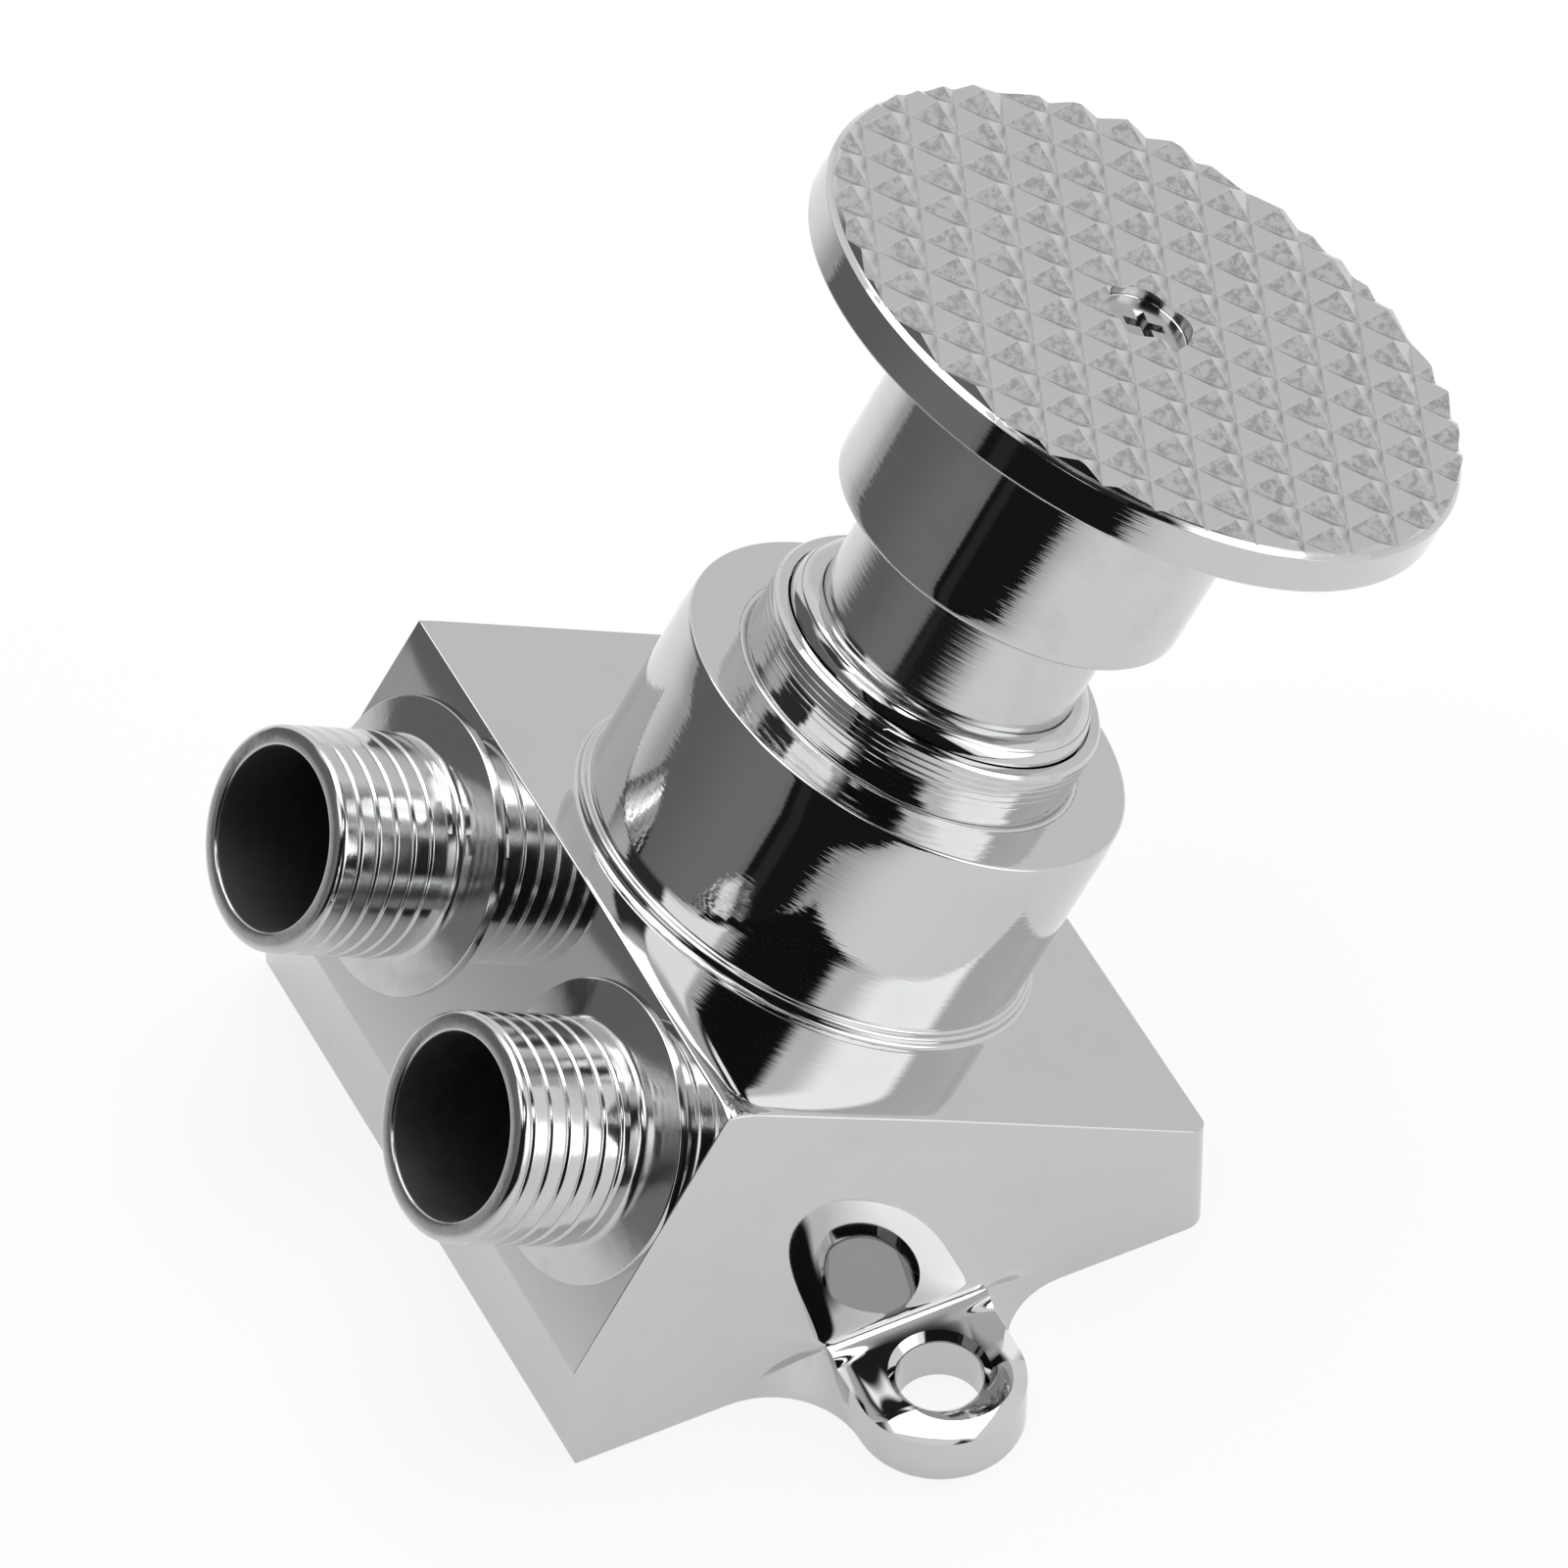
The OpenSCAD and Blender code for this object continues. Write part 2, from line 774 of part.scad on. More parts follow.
// Spindle: stout above, thin through the seat, threaded for the nut and bored for the pedal screw
module spindle() {
    tapped_end = screw_top - screw_len - stop_gap;
    on_spindle()
        color(brass)
            rotate_extrude()
                polygon([
                    [0, spindle_foot],
                    [tail_thread_d / 2, spindle_foot],
                    [tail_thread_d / 2, washer_top],
                    [tail_r, washer_top],
                    [tail_r, upper_mid],
                    [spindle_r, upper_mid + spindle_r - tail_r],
                    [spindle_r, spindle_top],
                    [screw_r, spindle_top],
                    [screw_r, tapped_end],
                    [0, tapped_end]]);
}

module poppet() {
    on_spindle()
        color(brass)
            ring(poppet_r, tail_thread_d / 2 + set_fit, poppet_foot, poppet_top);
}

module poppet_washer() {
    on_spindle()
        color(rubber)
            ring(washer_r, tail_thread_d / 2 + set_fit, poppet_top, washer_top);
}

module poppet_nut() {
    on_spindle()
        color(brass)
            difference() {
                translate([0, 0, nut_foot])
                    cylinder(r = nut_r, h = nut_h, $fn = 6);
                translate([0, 0, nut_foot - lap])
                    cylinder(r = tail_thread_d / 2 + set_fit, h = nut_h + 2 * lap);
            }
}

valve_body();
inlet_nipple();
outlet_nipple();
nipple_seals();
bonnet();
bonnet_gasket();
guide_bush();
sleeve_seal();
stem_seals();
seat_ring();
seat_seal();
spring_seat();
spring_cap();
return_spring();
pedal_disc();
pedal_hub();
pedal_screw();
stem_sleeve();
spindle();
poppet();
poppet_washer();
poppet_nut();
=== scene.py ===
import math
import bpy
from mathutils import Matrix, Vector


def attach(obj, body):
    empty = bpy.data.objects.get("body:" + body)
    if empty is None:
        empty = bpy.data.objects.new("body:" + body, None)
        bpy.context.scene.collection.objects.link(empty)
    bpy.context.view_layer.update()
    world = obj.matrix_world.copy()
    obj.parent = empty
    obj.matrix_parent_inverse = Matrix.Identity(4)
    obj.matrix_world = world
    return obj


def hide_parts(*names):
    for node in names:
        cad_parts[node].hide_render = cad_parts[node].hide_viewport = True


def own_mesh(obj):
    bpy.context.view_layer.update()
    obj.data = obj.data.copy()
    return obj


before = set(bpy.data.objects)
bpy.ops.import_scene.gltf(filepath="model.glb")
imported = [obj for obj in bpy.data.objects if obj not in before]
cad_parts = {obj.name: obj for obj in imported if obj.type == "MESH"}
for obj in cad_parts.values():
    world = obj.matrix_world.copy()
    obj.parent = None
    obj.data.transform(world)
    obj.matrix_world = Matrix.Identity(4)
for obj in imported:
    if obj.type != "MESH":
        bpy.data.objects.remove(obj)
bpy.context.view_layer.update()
mm = 0.001
fullTurn = 2 * math.pi
print("frame loaded:", len(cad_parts), "nodes")

# the spindle leans towards the toe; z = 0 on it is the top of the boss
stand = {"lean": 30, "bossTop": (17.6327, 0, 45.3324), "portFace": -27, "portAside": 19, "portDrop": -36.7}
bossTop = Vector(stand["bossTop"]) * mm
onSpindle = Matrix.Translation(bossTop) @ Matrix.Rotation(math.radians(stand["lean"]), 4, "Y")
spindleUp = onSpindle.to_3x3() @ Vector((0, 0, 1))


def onPort(side):  # +Z leads out of the body, and z = 0 is the front slope
    aside = Vector((stand["portFace"], side * stand["portAside"], stand["portDrop"])) * mm
    return onSpindle @ Matrix.Translation(aside) @ Matrix.Rotation(math.radians(-90), 4, "Y")


# camera at the photograph's angle
shot = {"right": (0.896, -0.444, 0.0072), "down": (-0.3288, -0.6743, -0.6612),
        "ahead": (0.2984, 0.5901, -0.7502), "place": (-337.12, -676.45, 900.56),
        "lens": 289.53, "sensor": 36, "far": 20}
bpy.ops.object.select_all(action="DESELECT")
bpy.ops.object.camera_add()
camera = bpy.context.object
axes = [Vector(shot["right"]), -Vector(shot["down"]), -Vector(shot["ahead"])]
facing = Matrix([axis.normalized() for axis in axes]).transposed().to_4x4()
camera.matrix_world = Matrix.Translation(Vector(shot["place"]) * mm) @ facing
camera.data.lens = shot["lens"]
camera.data.sensor_width = shot["sensor"]
camera.data.clip_end = shot["far"]
bpy.context.scene.camera = camera
print("camera set")


class Wire:  # a shader socket that can be added to, multiplied and so on
    def __init__(self, tree, socket=None):
        self.tree, self.socket = tree, socket

    def make(self, kind, settings=None, feeds=None, out=0):
        made = self.tree.nodes.new(kind)
        for key, value in (settings or {}).items():
            setattr(made, key, value)
        for key, value in (feeds or {}).items():
            if isinstance(value, Wire):
                self.tree.links.new(value.socket, made.inputs[key])
            else:
                made.inputs[key].default_value = value
        return Wire(self.tree, made.outputs[out])

    def others(self, *outs):  # more sockets of the same node
        return [Wire(self.tree, self.socket.node.outputs[out]) for out in outs]

    def split(self):  # x, y and z of a vector
        return self.make("ShaderNodeSeparateXYZ", None, {0: self}).others(0, 1, 2)

    def maths(self, operation, *values):
        return self.make("ShaderNodeMath", {"operation": operation}, dict(enumerate(values)))

    def __add__(self, other):
        return self.maths("ADD", self, other)

    def __rsub__(self, other):
        return self.maths("SUBTRACT", other, self)

    def __mul__(self, other):
        return self.maths("MULTIPLY", self, other)

    __radd__, __rmul__ = __add__, __mul__

    def ease(self, low, high):  # 0 below low, 1 above high, smooth between
        return self.make("ShaderNodeMapRange", {"interpolation_type": "SMOOTHSTEP"},
                         {"Value": self, "From Min": low, "From Max": high})

    def grain(self, scale, detail=3, rough=0.5):
        return self.make("ShaderNodeTexNoise", None,
                         {"Vector": self, "Scale": scale, "Detail": detail, "Roughness": rough})

    def tint(self, dark, light):  # a colour between two, led by this value
        return self.make("ShaderNodeMix", {"data_type": "RGBA"}, {0: self, 6: (*dark, 1), 7: (*light, 1)}, 2)


def startFinish(name, metallic=1):
    finish = bpy.data.materials.new(name)
    finish.use_nodes = True
    shader = finish.node_tree.nodes["Principled BSDF"]
    shader.inputs["Metallic"].default_value = metallic
    return finish, shader, Wire(finish.node_tree).make("ShaderNodeTexCoord", out=3)


def join(shader, **feeds):
    for key, value in feeds.items():
        value.tree.links.new(value.socket, shader.inputs[key.replace("_", " ")])


def dent(height, depth, under=None):  # bump of a height field, depth in metres
    feeds = {"Height": height, "Distance": depth, "Strength": 1}
    if under:
        feeds["Normal"] = under
    return height.make("ShaderNodeBump", None, feeds)


def alongSpindle(spot):  # height on the spindle and distance from it, in metres
    local = spot.make("ShaderNodeMapping", {"vector_type": "TEXTURE"},
                      {"Vector": spot, "Location": bossTop, "Rotation": (0, math.radians(stand["lean"]), 0)})
    x, y, z = local.split()
    square = x * x + y * y
    return z, square.maths("SQRT", square)


def latheMarks(height, reach):  # rings of uneven depth, on walls and on faces
    return height.make("ShaderNodeTexNoise", {"noise_dimensions": "1D"},
                       {"W": height + reach, "Scale": 2300, "Detail": 3, "Roughness": 0.6})


# grains are scale, detail and roughness; depths and heights are in metres
chromeTone = {"light": (0.575, 0.58, 0.585), "worn": (0.555, 0.56, 0.565), "dark": (0.52, 0.525, 0.53)}
castLook = {"bossFoot": (-0.0203, -0.0199), "wave": (45, 1), "waveDeep": 0.00005, "smear": (120, 5, 0.65),
            "smeared": (0.5, 0.75), "rough": 0.03, "duller": 0.03, "ringDeep": 0.000005}
turnedLook = {"wave": (60, 2), "waveDeep": 0.00002, "dull": (160, 4, 0.6), "dulled": (0.45, 0.8), "duller": 0.05}
threadLook = {"burr": (420, 4, 0.6), "burrDeep": 0.000022, "wear": (180, 4), "worn": (0.4, 0.75), "rough": 0.12,
              "duller": 0.14}
treadLook = {"satinFrom": (0.0461, 0.0463), "bright": (0.56, 0.565, 0.57), "satin": (0.505, 0.51, 0.515),
             "even": 0.85, "patchy": 0.15, "blast": (900, 3, 0.6), "blastDeep": 0.000006, "patch": (260, 3, 0.55),
             "patched": (0.42, 0.68), "rough": 0.04, "satinRough": 0.14, "patchRough": 0.06, "ringDeep": 0.000006}
# tones of the painted shade on one side of each pyramid
paintedShadeLook = {"pits": (1200, 4, 0.65), "pitDeep": 0.00006, "pitted": (0.42, 0.62), "light": (0.45, 0.455, 0.46),
            "dark": (0.29, 0.295, 0.3), "rough": 0.2, "duller": 0.15}
plainLook = {"grain": (4, 0.6), "clouded": (0.35, 0.7), "cloudDeep": 0.000008, "duller": 0.15}
rubberLook = {"speck": (2500, 4, 0.6), "speckDeep": 0.000015, "dark": (0.028, 0.028, 0.03),
              "light": (0.05, 0.05, 0.053), "rough": 0.6, "duller": 0.2}


# polished plate on the cast body: a slow waviness, a few dull smears, and lathe rings on the boss
def castChrome():
    look = castLook
    finish, shader, spot = startFinish("castChrome")
    height, reach = alongSpindle(spot)
    turned = height.ease(*look["bossFoot"])
    smear = spot.grain(*look["smear"]).ease(*look["smeared"])
    waves = dent(spot.grain(*look["wave"]), look["waveDeep"])
    join(shader, Base_Color=smear.tint(chromeTone["light"], chromeTone["worn"]),
         Roughness=look["rough"] + look["duller"] * smear,
         Normal=dent(latheMarks(height, reach) * turned, look["ringDeep"], waves))
    return finish


# bright plate on turned brass: fine rings left by the lathe
def turnedChrome(name, rough, ringDeep):
    look = turnedLook
    finish, shader, spot = startFinish(name)
    height, reach = alongSpindle(spot)
    dull = spot.grain(*look["dull"]).ease(*look["dulled"])
    waves = dent(spot.grain(*look["wave"]), look["waveDeep"])
    join(shader, Base_Color=dull.tint(chromeTone["light"], chromeTone["dark"]),
         Roughness=rough + look["duller"] * dull, Normal=dent(latheMarks(height, reach), ringDeep, waves))
    return finish


# plate on cut pipe thread: uneven along the crests
def threadChrome():
    look = threadLook
    finish, shader, spot = startFinish("threadChrome")
    worn = spot.grain(*look["wear"]).ease(*look["worn"])
    join(shader, Base_Color=worn.tint(chromeTone["light"], chromeTone["dark"]),
         Roughness=look["rough"] + look["duller"] * worn,
         Normal=dent(spot.grain(*look["burr"]), look["burrDeep"]))
    return finish


# the tread is satin, its rim and underside are bright
def treadChrome():
    look = treadLook
    finish, shader, spot = startFinish("treadChrome")
    height, reach = alongSpindle(spot)
    satin = height.ease(*look["satinFrom"])
    patch = spot.grain(*look["patch"]).ease(*look["patched"])
    rings = dent(latheMarks(height, reach), look["ringDeep"])
    share = satin * (look["even"] + look["patchy"] * patch)
    join(shader, Base_Color=share.tint(look["bright"], look["satin"]),
         Roughness=look["rough"] + satin * (look["satinRough"] + look["patchRough"] * patch),
         Normal=dent(spot.grain(*look["blast"]) * satin, look["blastDeep"], rings))
    return finish


# one side of each pyramid is painted darker, a painted shade, with a pitted noise on it
def paintedShadeChrome():
    look = paintedShadeLook
    finish, shader, spot = startFinish("paintedShadeChrome")
    pits = spot.grain(*look["pits"])
    dark = pits.ease(*look["pitted"])
    join(shader, Base_Color=dark.tint(look["light"], look["dark"]),
         Roughness=look["rough"] + look["duller"] * dark, Normal=dent(pits, look["pitDeep"]))
    return finish


def plainMetal(name, light, dark, rough, scale):
    look = plainLook
    finish, shader, spot = startFinish(name)
    cloud = spot.grain(scale, *look["grain"])
    join(shader, Base_Color=cloud.ease(*look["clouded"]).tint(light, dark),
         Roughness=rough + look["duller"] * cloud, Normal=dent(cloud, look["cloudDeep"]))
    return finish


def blackRubber():
    look = rubberLook
    finish, shader, spot = startFinish("blackRubber", 0)
    speck = spot.grain(*look["speck"])
    join(shader, Base_Color=speck.tint(look["dark"], look["light"]),
         Roughness=look["rough"] + look["duller"] * speck, Normal=dent(speck, look["speckDeep"]))
    return finish


finishes = {
    "body": castChrome(), "turned": turnedChrome("turnedChrome", rough=0.035, ringDeep=0.0000065),
    "sleeve": turnedChrome("sleeveChrome", rough=0.11, ringDeep=0.000014),
    "thread": threadChrome(), "tread": treadChrome(), "paintedShadeSide": paintedShadeChrome(),
    "bore": plainMetal("dullBore", (0.34, 0.34, 0.345), (0.22, 0.22, 0.225), rough=0.4, scale=200),
    "brass": plainMetal("cutBrass", (0.78, 0.58, 0.28), (0.62, 0.44, 0.2), rough=0.18, scale=300),
    "wire": plainMetal("drawnWire", (0.5, 0.51, 0.53), (0.4, 0.41, 0.43), rough=0.22, scale=500),
    "steel": plainMetal("stampedSteel", (0.6, 0.6, 0.61), (0.5, 0.5, 0.51), rough=0.2, scale=400),
    "screw": plainMetal("screwSteel", (0.46, 0.46, 0.465), (0.4, 0.4, 0.405), rough=0.07, scale=500),
    "rubber": blackRubber()}
print("finishes made:", len(finishes))

# modelling steps
weld = 0.000001  # vertices nearer than this, in metres, are one
plainFace = 20 * mm * mm  # larger faces are flat walls and keep their own normal


def only(piece):
    bpy.ops.object.select_all(action="DESELECT")
    piece.select_set(True)
    bpy.context.view_layer.objects.active = piece


def drawRing(name, points):  # a closed outline, one vertex to a corner, in mm
    bpy.ops.object.select_all(action="DESELECT")
    bpy.ops.mesh.primitive_circle_add(vertices=len(points), radius=0.01, fill_type="NOTHING")
    piece = bpy.context.object
    piece.name = piece.data.name = name
    for vertex, point in zip(piece.data.vertices, points):
        vertex.co = Vector(point) * mm
    return piece


def drawGrid(name, columns, lines, size=1):
    bpy.ops.object.select_all(action="DESELECT")
    bpy.ops.mesh.primitive_grid_add(x_subdivisions=columns, y_subdivisions=lines, size=size)
    piece = bpy.context.object
    piece.name = piece.data.name = name
    return piece


def faceOut():  # in edit mode
    bpy.ops.mesh.select_all(action="SELECT")
    bpy.ops.mesh.normals_make_consistent(inside=False)


def fillRing(piece, shift=None):  # a face across the outline, drawn out into a block where there is a shift
    only(piece)
    bpy.ops.object.mode_set(mode="EDIT")
    bpy.ops.mesh.select_all(action="SELECT")
    bpy.ops.mesh.edge_face_add()
    if shift:
        bpy.ops.mesh.extrude_region_move(TRANSFORM_OT_translate={"value": shift})
        faceOut()
    bpy.ops.object.mode_set(mode="OBJECT")
    return piece


def closeOff(piece, shift):  # draws the open edge of a sheet out and closes it with a face
    only(piece)
    bpy.ops.object.mode_set(mode="EDIT")
    bpy.ops.mesh.select_all(action="DESELECT")
    bpy.ops.mesh.select_non_manifold(extend=False)
    bpy.ops.mesh.extrude_region_move(TRANSFORM_OT_translate={"value": shift})
    bpy.ops.mesh.edge_face_add()
    faceOut()
    bpy.ops.object.mode_set(mode="OBJECT")


def tidy(piece):
    only(piece)
    bpy.ops.object.mode_set(mode="EDIT")
    bpy.ops.mesh.select_all(action="SELECT")
    bpy.ops.mesh.remove_doubles(threshold=weld)
    bpy.ops.mesh.delete_loose()
    faceOut()
    bpy.ops.object.mode_set(mode="OBJECT")


def spinSection(name, section, steps):  # a half section of (radius, height), turned about Z
    piece = drawRing(name, [(radius, 0, height) for radius, height in section])
    bpy.ops.object.mode_set(mode="EDIT")
    bpy.ops.mesh.select_all(action="SELECT")
    bpy.ops.mesh.spin(steps=steps, angle=fullTurn, center=(0, 0, 0), axis=(0, 0, 1))
    bpy.ops.object.mode_set(mode="OBJECT")
    tidy(piece)
    return piece


def arc(centre, radius, start, end, steps):
    angles = [math.radians(start + (end - start) * i / steps) for i in range(steps + 1)]
    return [(centre[0] + radius * math.cos(a), centre[1] + radius * math.sin(a)) for a in angles]


def easeCorners(corners, steps=6):  # corners are (radius, height, rounding)
    section = []
    for i, (radius, height, rounding) in enumerate(corners):
        here = Vector((radius, height))
        if not rounding:
            section.append((radius, height))
            continue
        back = (Vector(corners[i - 1][:2]) - here).normalized()
        ahead = (Vector(corners[(i + 1) % len(corners)][:2]) - here).normalized()
        half = back.angle(ahead) / 2
        centre = here + (back + ahead).normalized() * rounding / math.sin(half)
        first = here + back * rounding / math.tan(half) - centre
        last = here + ahead * rounding / math.tan(half) - centre
        start, end = math.atan2(first.y, first.x), math.atan2(last.y, last.x)
        sweep = (end - start + math.pi) % fullTurn - math.pi
        section += arc(centre, rounding, math.degrees(start), math.degrees(start + sweep), steps)
    return section


def rows(radius, foot, top, step):  # close rings for a thread
    count = math.ceil((top - foot) / step)
    return [(radius, foot + (top - foot) * i / count) for i in range(count + 1)]


def smooth(value, low, high):  # 0 below low, 1 above high
    part = max(0, min(1, (value - low) / (high - low)))
    return part * part * (3 - 2 * part)


def cutThread(piece, thread):  # draws the rings in along a helix
    for vertex in piece.data.vertices:
        x, y, z = vertex.co / mm
        reach = math.hypot(x, y)
        if reach < thread["inner"] or not thread["foot"] <= z <= thread["top"]:
            continue
        turn = (z / thread["pitch"] - math.atan2(y, x) / fullTurn + thread["start"]) % 1
        tooth = smooth(abs(2 * turn - 1), 0, thread["groove"])  # 0 in the groove, 1 on the crest
        begun = min(1, (z - thread["foot"]) / thread["ease"])
        limit = thread["crest"] - thread["depth"] * (1 - tooth) * begun
        if reach > limit:
            vertex.co.xy = vertex.co.xy * (limit / reach)


def settle(piece, where):  # its place goes into its mesh
    only(piece)
    piece.matrix_world = where
    bpy.ops.object.transform_apply(location=True, rotation=True, scale=True)
    return piece


def applied(piece, kind, **settings):
    only(piece)
    modifier = piece.modifiers.new(kind.lower(), kind)
    for key, value in settings.items():
        setattr(modifier, key, value)
    bpy.ops.object.modifier_apply(modifier=modifier.name)


def combine(piece, tool, operation):
    applied(piece, "BOOLEAN", operation=operation, object=tool, solver="EXACT")
    bpy.data.objects.remove(tool)


def finishPiece(piece, finish, body, node, sharp=32):
    only(piece)
    bpy.ops.object.shade_smooth_by_angle(angle=math.radians(sharp))
    for face in piece.data.polygons:
        face.use_smooth = face.area < plainFace
    applied(piece, "WEIGHTED_NORMAL", keep_sharp=True, weight=60)
    piece.data.materials.clear()
    piece.data.materials.append(finishes[finish])
    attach(piece, body)
    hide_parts(node)
    print("piece", piece.name, len(piece.data.polygons), "faces")
    return piece


def secondFinish(piece, finish, marked):  # on the marked faces only
    piece.data.materials.append(finishes[finish])
    for face, mark in zip(piece.data.polygons, marked):
        face.material_index = int(mark)
    return piece


# nipples with a real pipe thread
nipple = {"bore": 8.5, "boreSkin": 0.1, "crest": 10.4775, "inside": -9, "flange": 13.93, "flangeRim": 0.5,
          "flangeEdge": 0.2, "flangeTop": 1.65, "neck": 10.05, "cove": 0.8, "threadFoot": 3.6, "runIn": 0.5,
          "mouth": 15.75, "rim": 0.8, "lip": 0.4, "steps": 160, "row": 0.07, "sharp": 40}
nippleThread = {"inner": 9.0, "foot": 3.3, "ease": 1.5, "top": 15.76, "crest": 10.4775, "pitch": 2.02,
                "depth": 0.18, "groove": 0.32}


def makeNipple(name, side, node, start):
    n = nipple
    section = easeCorners([(n["bore"], n["inside"], 0), (n["crest"], n["inside"], 0), (n["crest"], 0, 0),
                           (n["flange"], 0, 0), (n["flange"], n["flangeRim"], n["flangeEdge"]),
                           (n["neck"], n["flangeTop"], n["cove"]), (n["neck"], n["threadFoot"] - n["runIn"], 0)])
    section += rows(n["crest"], n["threadFoot"], n["mouth"] - n["rim"], n["row"])[:-1]
    section += arc((n["crest"] - n["rim"], n["mouth"] - n["rim"]), n["rim"], 0, 90, steps=9)
    section += arc((n["bore"] + n["lip"], n["mouth"] - n["lip"]), n["lip"], 90, 180, steps=6)
    piece = spinSection(name, section, n["steps"])
    points = piece.data.vertices
    skin = (n["bore"] + n["boreSkin"]) * mm
    inner = [max(points[i].co.xy.length for i in face.vertices) < skin for face in piece.data.polygons]
    cutThread(piece, {**nippleThread, "start": start})
    settle(piece, onPort(side))
    finishPiece(piece, "thread", "casing", node, n["sharp"])
    return secondFinish(piece, "bore", inner)


makeNipple("inletNipple", -1, "inlet_nipple", start=0.19)
makeNipple("outletNipple", 1, "outlet_nipple", start=0.72)


# collar and spring chamber in one piece, with a fine thread outside
collar = {"crest": 16.63, "top": 6, "edge": 0.3, "foot": -18.3, "floor": -12.8, "inner": 14.38, "stem": 4.05,
          "step": 2, "stepIn": 15.42, "shoulder": 17.33, "shoulderTop": 0.9, "shoulderEdge": 0.35,
          "groove": 5.88, "grooves": (-14.175, -16.925), "grooveHalf": 0.93, "steps": 192, "row": 0.05, "sharp": 40}
collarThread = {"inner": 16.0, "foot": 1.6, "ease": 1, "top": 5.9, "crest": 16.63, "pitch": 0.7, "depth": 0.02,
                "groove": 0.25, "start": 0}


def makeCollar():
    c = collar
    corners = easeCorners([(c["stem"], c["foot"], 0), (c["crest"], c["foot"], 0), (c["crest"], 0, 0),
                           (c["shoulder"], 0, 0), (c["shoulder"], c["shoulderTop"], c["shoulderEdge"])])
    outside = rows(c["crest"], c["shoulderTop"], c["top"] - c["edge"], c["row"])
    inside = [(c["crest"] - c["edge"], c["top"]), (c["stepIn"], c["top"]), (c["stepIn"], c["step"]),
              (c["inner"], c["step"]), (c["inner"], c["floor"]), (c["stem"], c["floor"])]
    for middle in c["grooves"]:  # for the stem seals
        upper, lower = middle + c["grooveHalf"], middle - c["grooveHalf"]
        inside += [(c["stem"], upper), (c["groove"], upper), (c["groove"], lower), (c["stem"], lower)]
    piece = spinSection("collar", corners + outside + inside, c["steps"])
    cutThread(piece, collarThread)
    settle(piece, onSpindle)
    return finishPiece(piece, "turned", "casing", "bonnet", c["sharp"])


makeCollar()


# bush with a rounded crown, and a turned line round it
bush = {"bore": 12.85, "outer": 14.35, "flange": 15.25, "foot": -3, "seat": 2, "top": 8, "mouth": 0.1,
        "crown": (13.225, 5.975), "crownRound": 2.025, "line": (14.66, 7.27), "lineFrom": 42, "lineTo": 48,
        "groove": 14.305, "grooveTop": 4.93, "grooveFoot": 3.07, "steps": 192}


def makeBush():
    b = bush
    below = arc(b["crown"], b["crownRound"], 0, b["lineFrom"], steps=7)
    above = arc(b["crown"], b["crownRound"], b["lineTo"], 90, steps=7)
    section = [(b["bore"], b["foot"]), (b["outer"], b["foot"]), (b["outer"], b["seat"]), (b["flange"], b["seat"])]
    section += below + [b["line"]] + above
    section += [(b["bore"] + b["mouth"], b["top"]), (b["bore"], b["top"] - b["mouth"])]
    section += [(b["bore"], b["grooveTop"]), (b["groove"], b["grooveTop"]), (b["groove"], b["grooveFoot"]),
                (b["bore"], b["grooveFoot"])]
    piece = settle(spinSection("guideBush", section, b["steps"]), onSpindle)
    return finishPiece(piece, "turned", "casing", "guide_bush")


makeBush()


# sleeve that slides in the bush
sleeve = {"outer": 12.8, "inner": 11.3, "foot": -3.4, "footEdge": 0.2, "top": 30, "topEdge": 0.1, "steps": 192}


def makeSleeve():
    s = sleeve
    section = easeCorners([(s["inner"], s["foot"], s["footEdge"]), (s["outer"], s["foot"], s["footEdge"]),
                           (s["outer"], s["top"], s["topEdge"]), (s["inner"], s["top"], s["topEdge"])], 3)
    piece = settle(spinSection("stemSleeve", section, s["steps"]), onSpindle)
    return finishPiece(piece, "sleeve", "pedal", "stem_sleeve")


makeSleeve()


# hub, worn in slightly towards its foot
hub = {"outer": 17.5, "foot": 19.7, "footIn": 0.075, "footEdge": 0.3, "top": 42.2, "topEdge": 0.12, "web": 30.03,
       "hollow": 13.975, "hollowTop": 21.7, "hollowEdge": 0.15, "socket": 12.83, "stem": 4.03, "stemTop": 38,
       "screw": 2.2, "worn": 1.5, "wornRows": (0.5, 0.75, 1, 1.25, 1.5), "wornCurve": 30, "steps": 192}


def makeHub():
    h = hub
    worn = [(h["outer"] - (h["worn"] - rise) ** 2 / h["wornCurve"], h["foot"] + rise, 0) for rise in h["wornRows"]]
    section = easeCorners([(h["hollow"], h["foot"], h["hollowEdge"]),
                           (h["outer"] - h["footIn"], h["foot"], h["footEdge"]), *worn,
                           (h["outer"], h["top"], h["topEdge"]), (h["screw"], h["top"], 0),
                           (h["screw"], h["stemTop"], 0), (h["stem"], h["stemTop"], 0),
                           (h["stem"], h["web"], 0), (h["socket"], h["web"], 0),
                           (h["socket"], h["hollowTop"], 0), (h["hollow"], h["hollowTop"], 0)], 4)
    piece = settle(spinSection("pedalHub", section, h["steps"]), onSpindle)
    return finishPiece(piece, "turned", "pedal", "pedal_hub")


makeHub()


# pedal plate: a grid poked up into pyramids, cut round
tread = {"pitch": 5.08, "cells": 18, "depth": 1.1, "turn": 64, "shift": (-1.55, 2.25), "ease": 0.07,
         "easeFrom": 10, "skirt": 12, "paintedShadeSide": (0.3, 0.5), "upward": 0.8}
plate = {"radius": 32, "foot": 42.2, "footEdge": 0.25, "top": 47.4, "bevel": 0.5, "drop": 1.5, "rimEdge": 0.1,
         "bevelEdge": 0.05, "inset": 0.2, "spare": 1, "steps": 256, "sharp": 12}
screwHole = {"hole": 2.2, "sink": 8.5, "sunk": 1.8, "mouthDrop": 0.15, "mouthOut": 0.2, "mouthRise": 0.05,
             "spare": 1, "steps": 64}


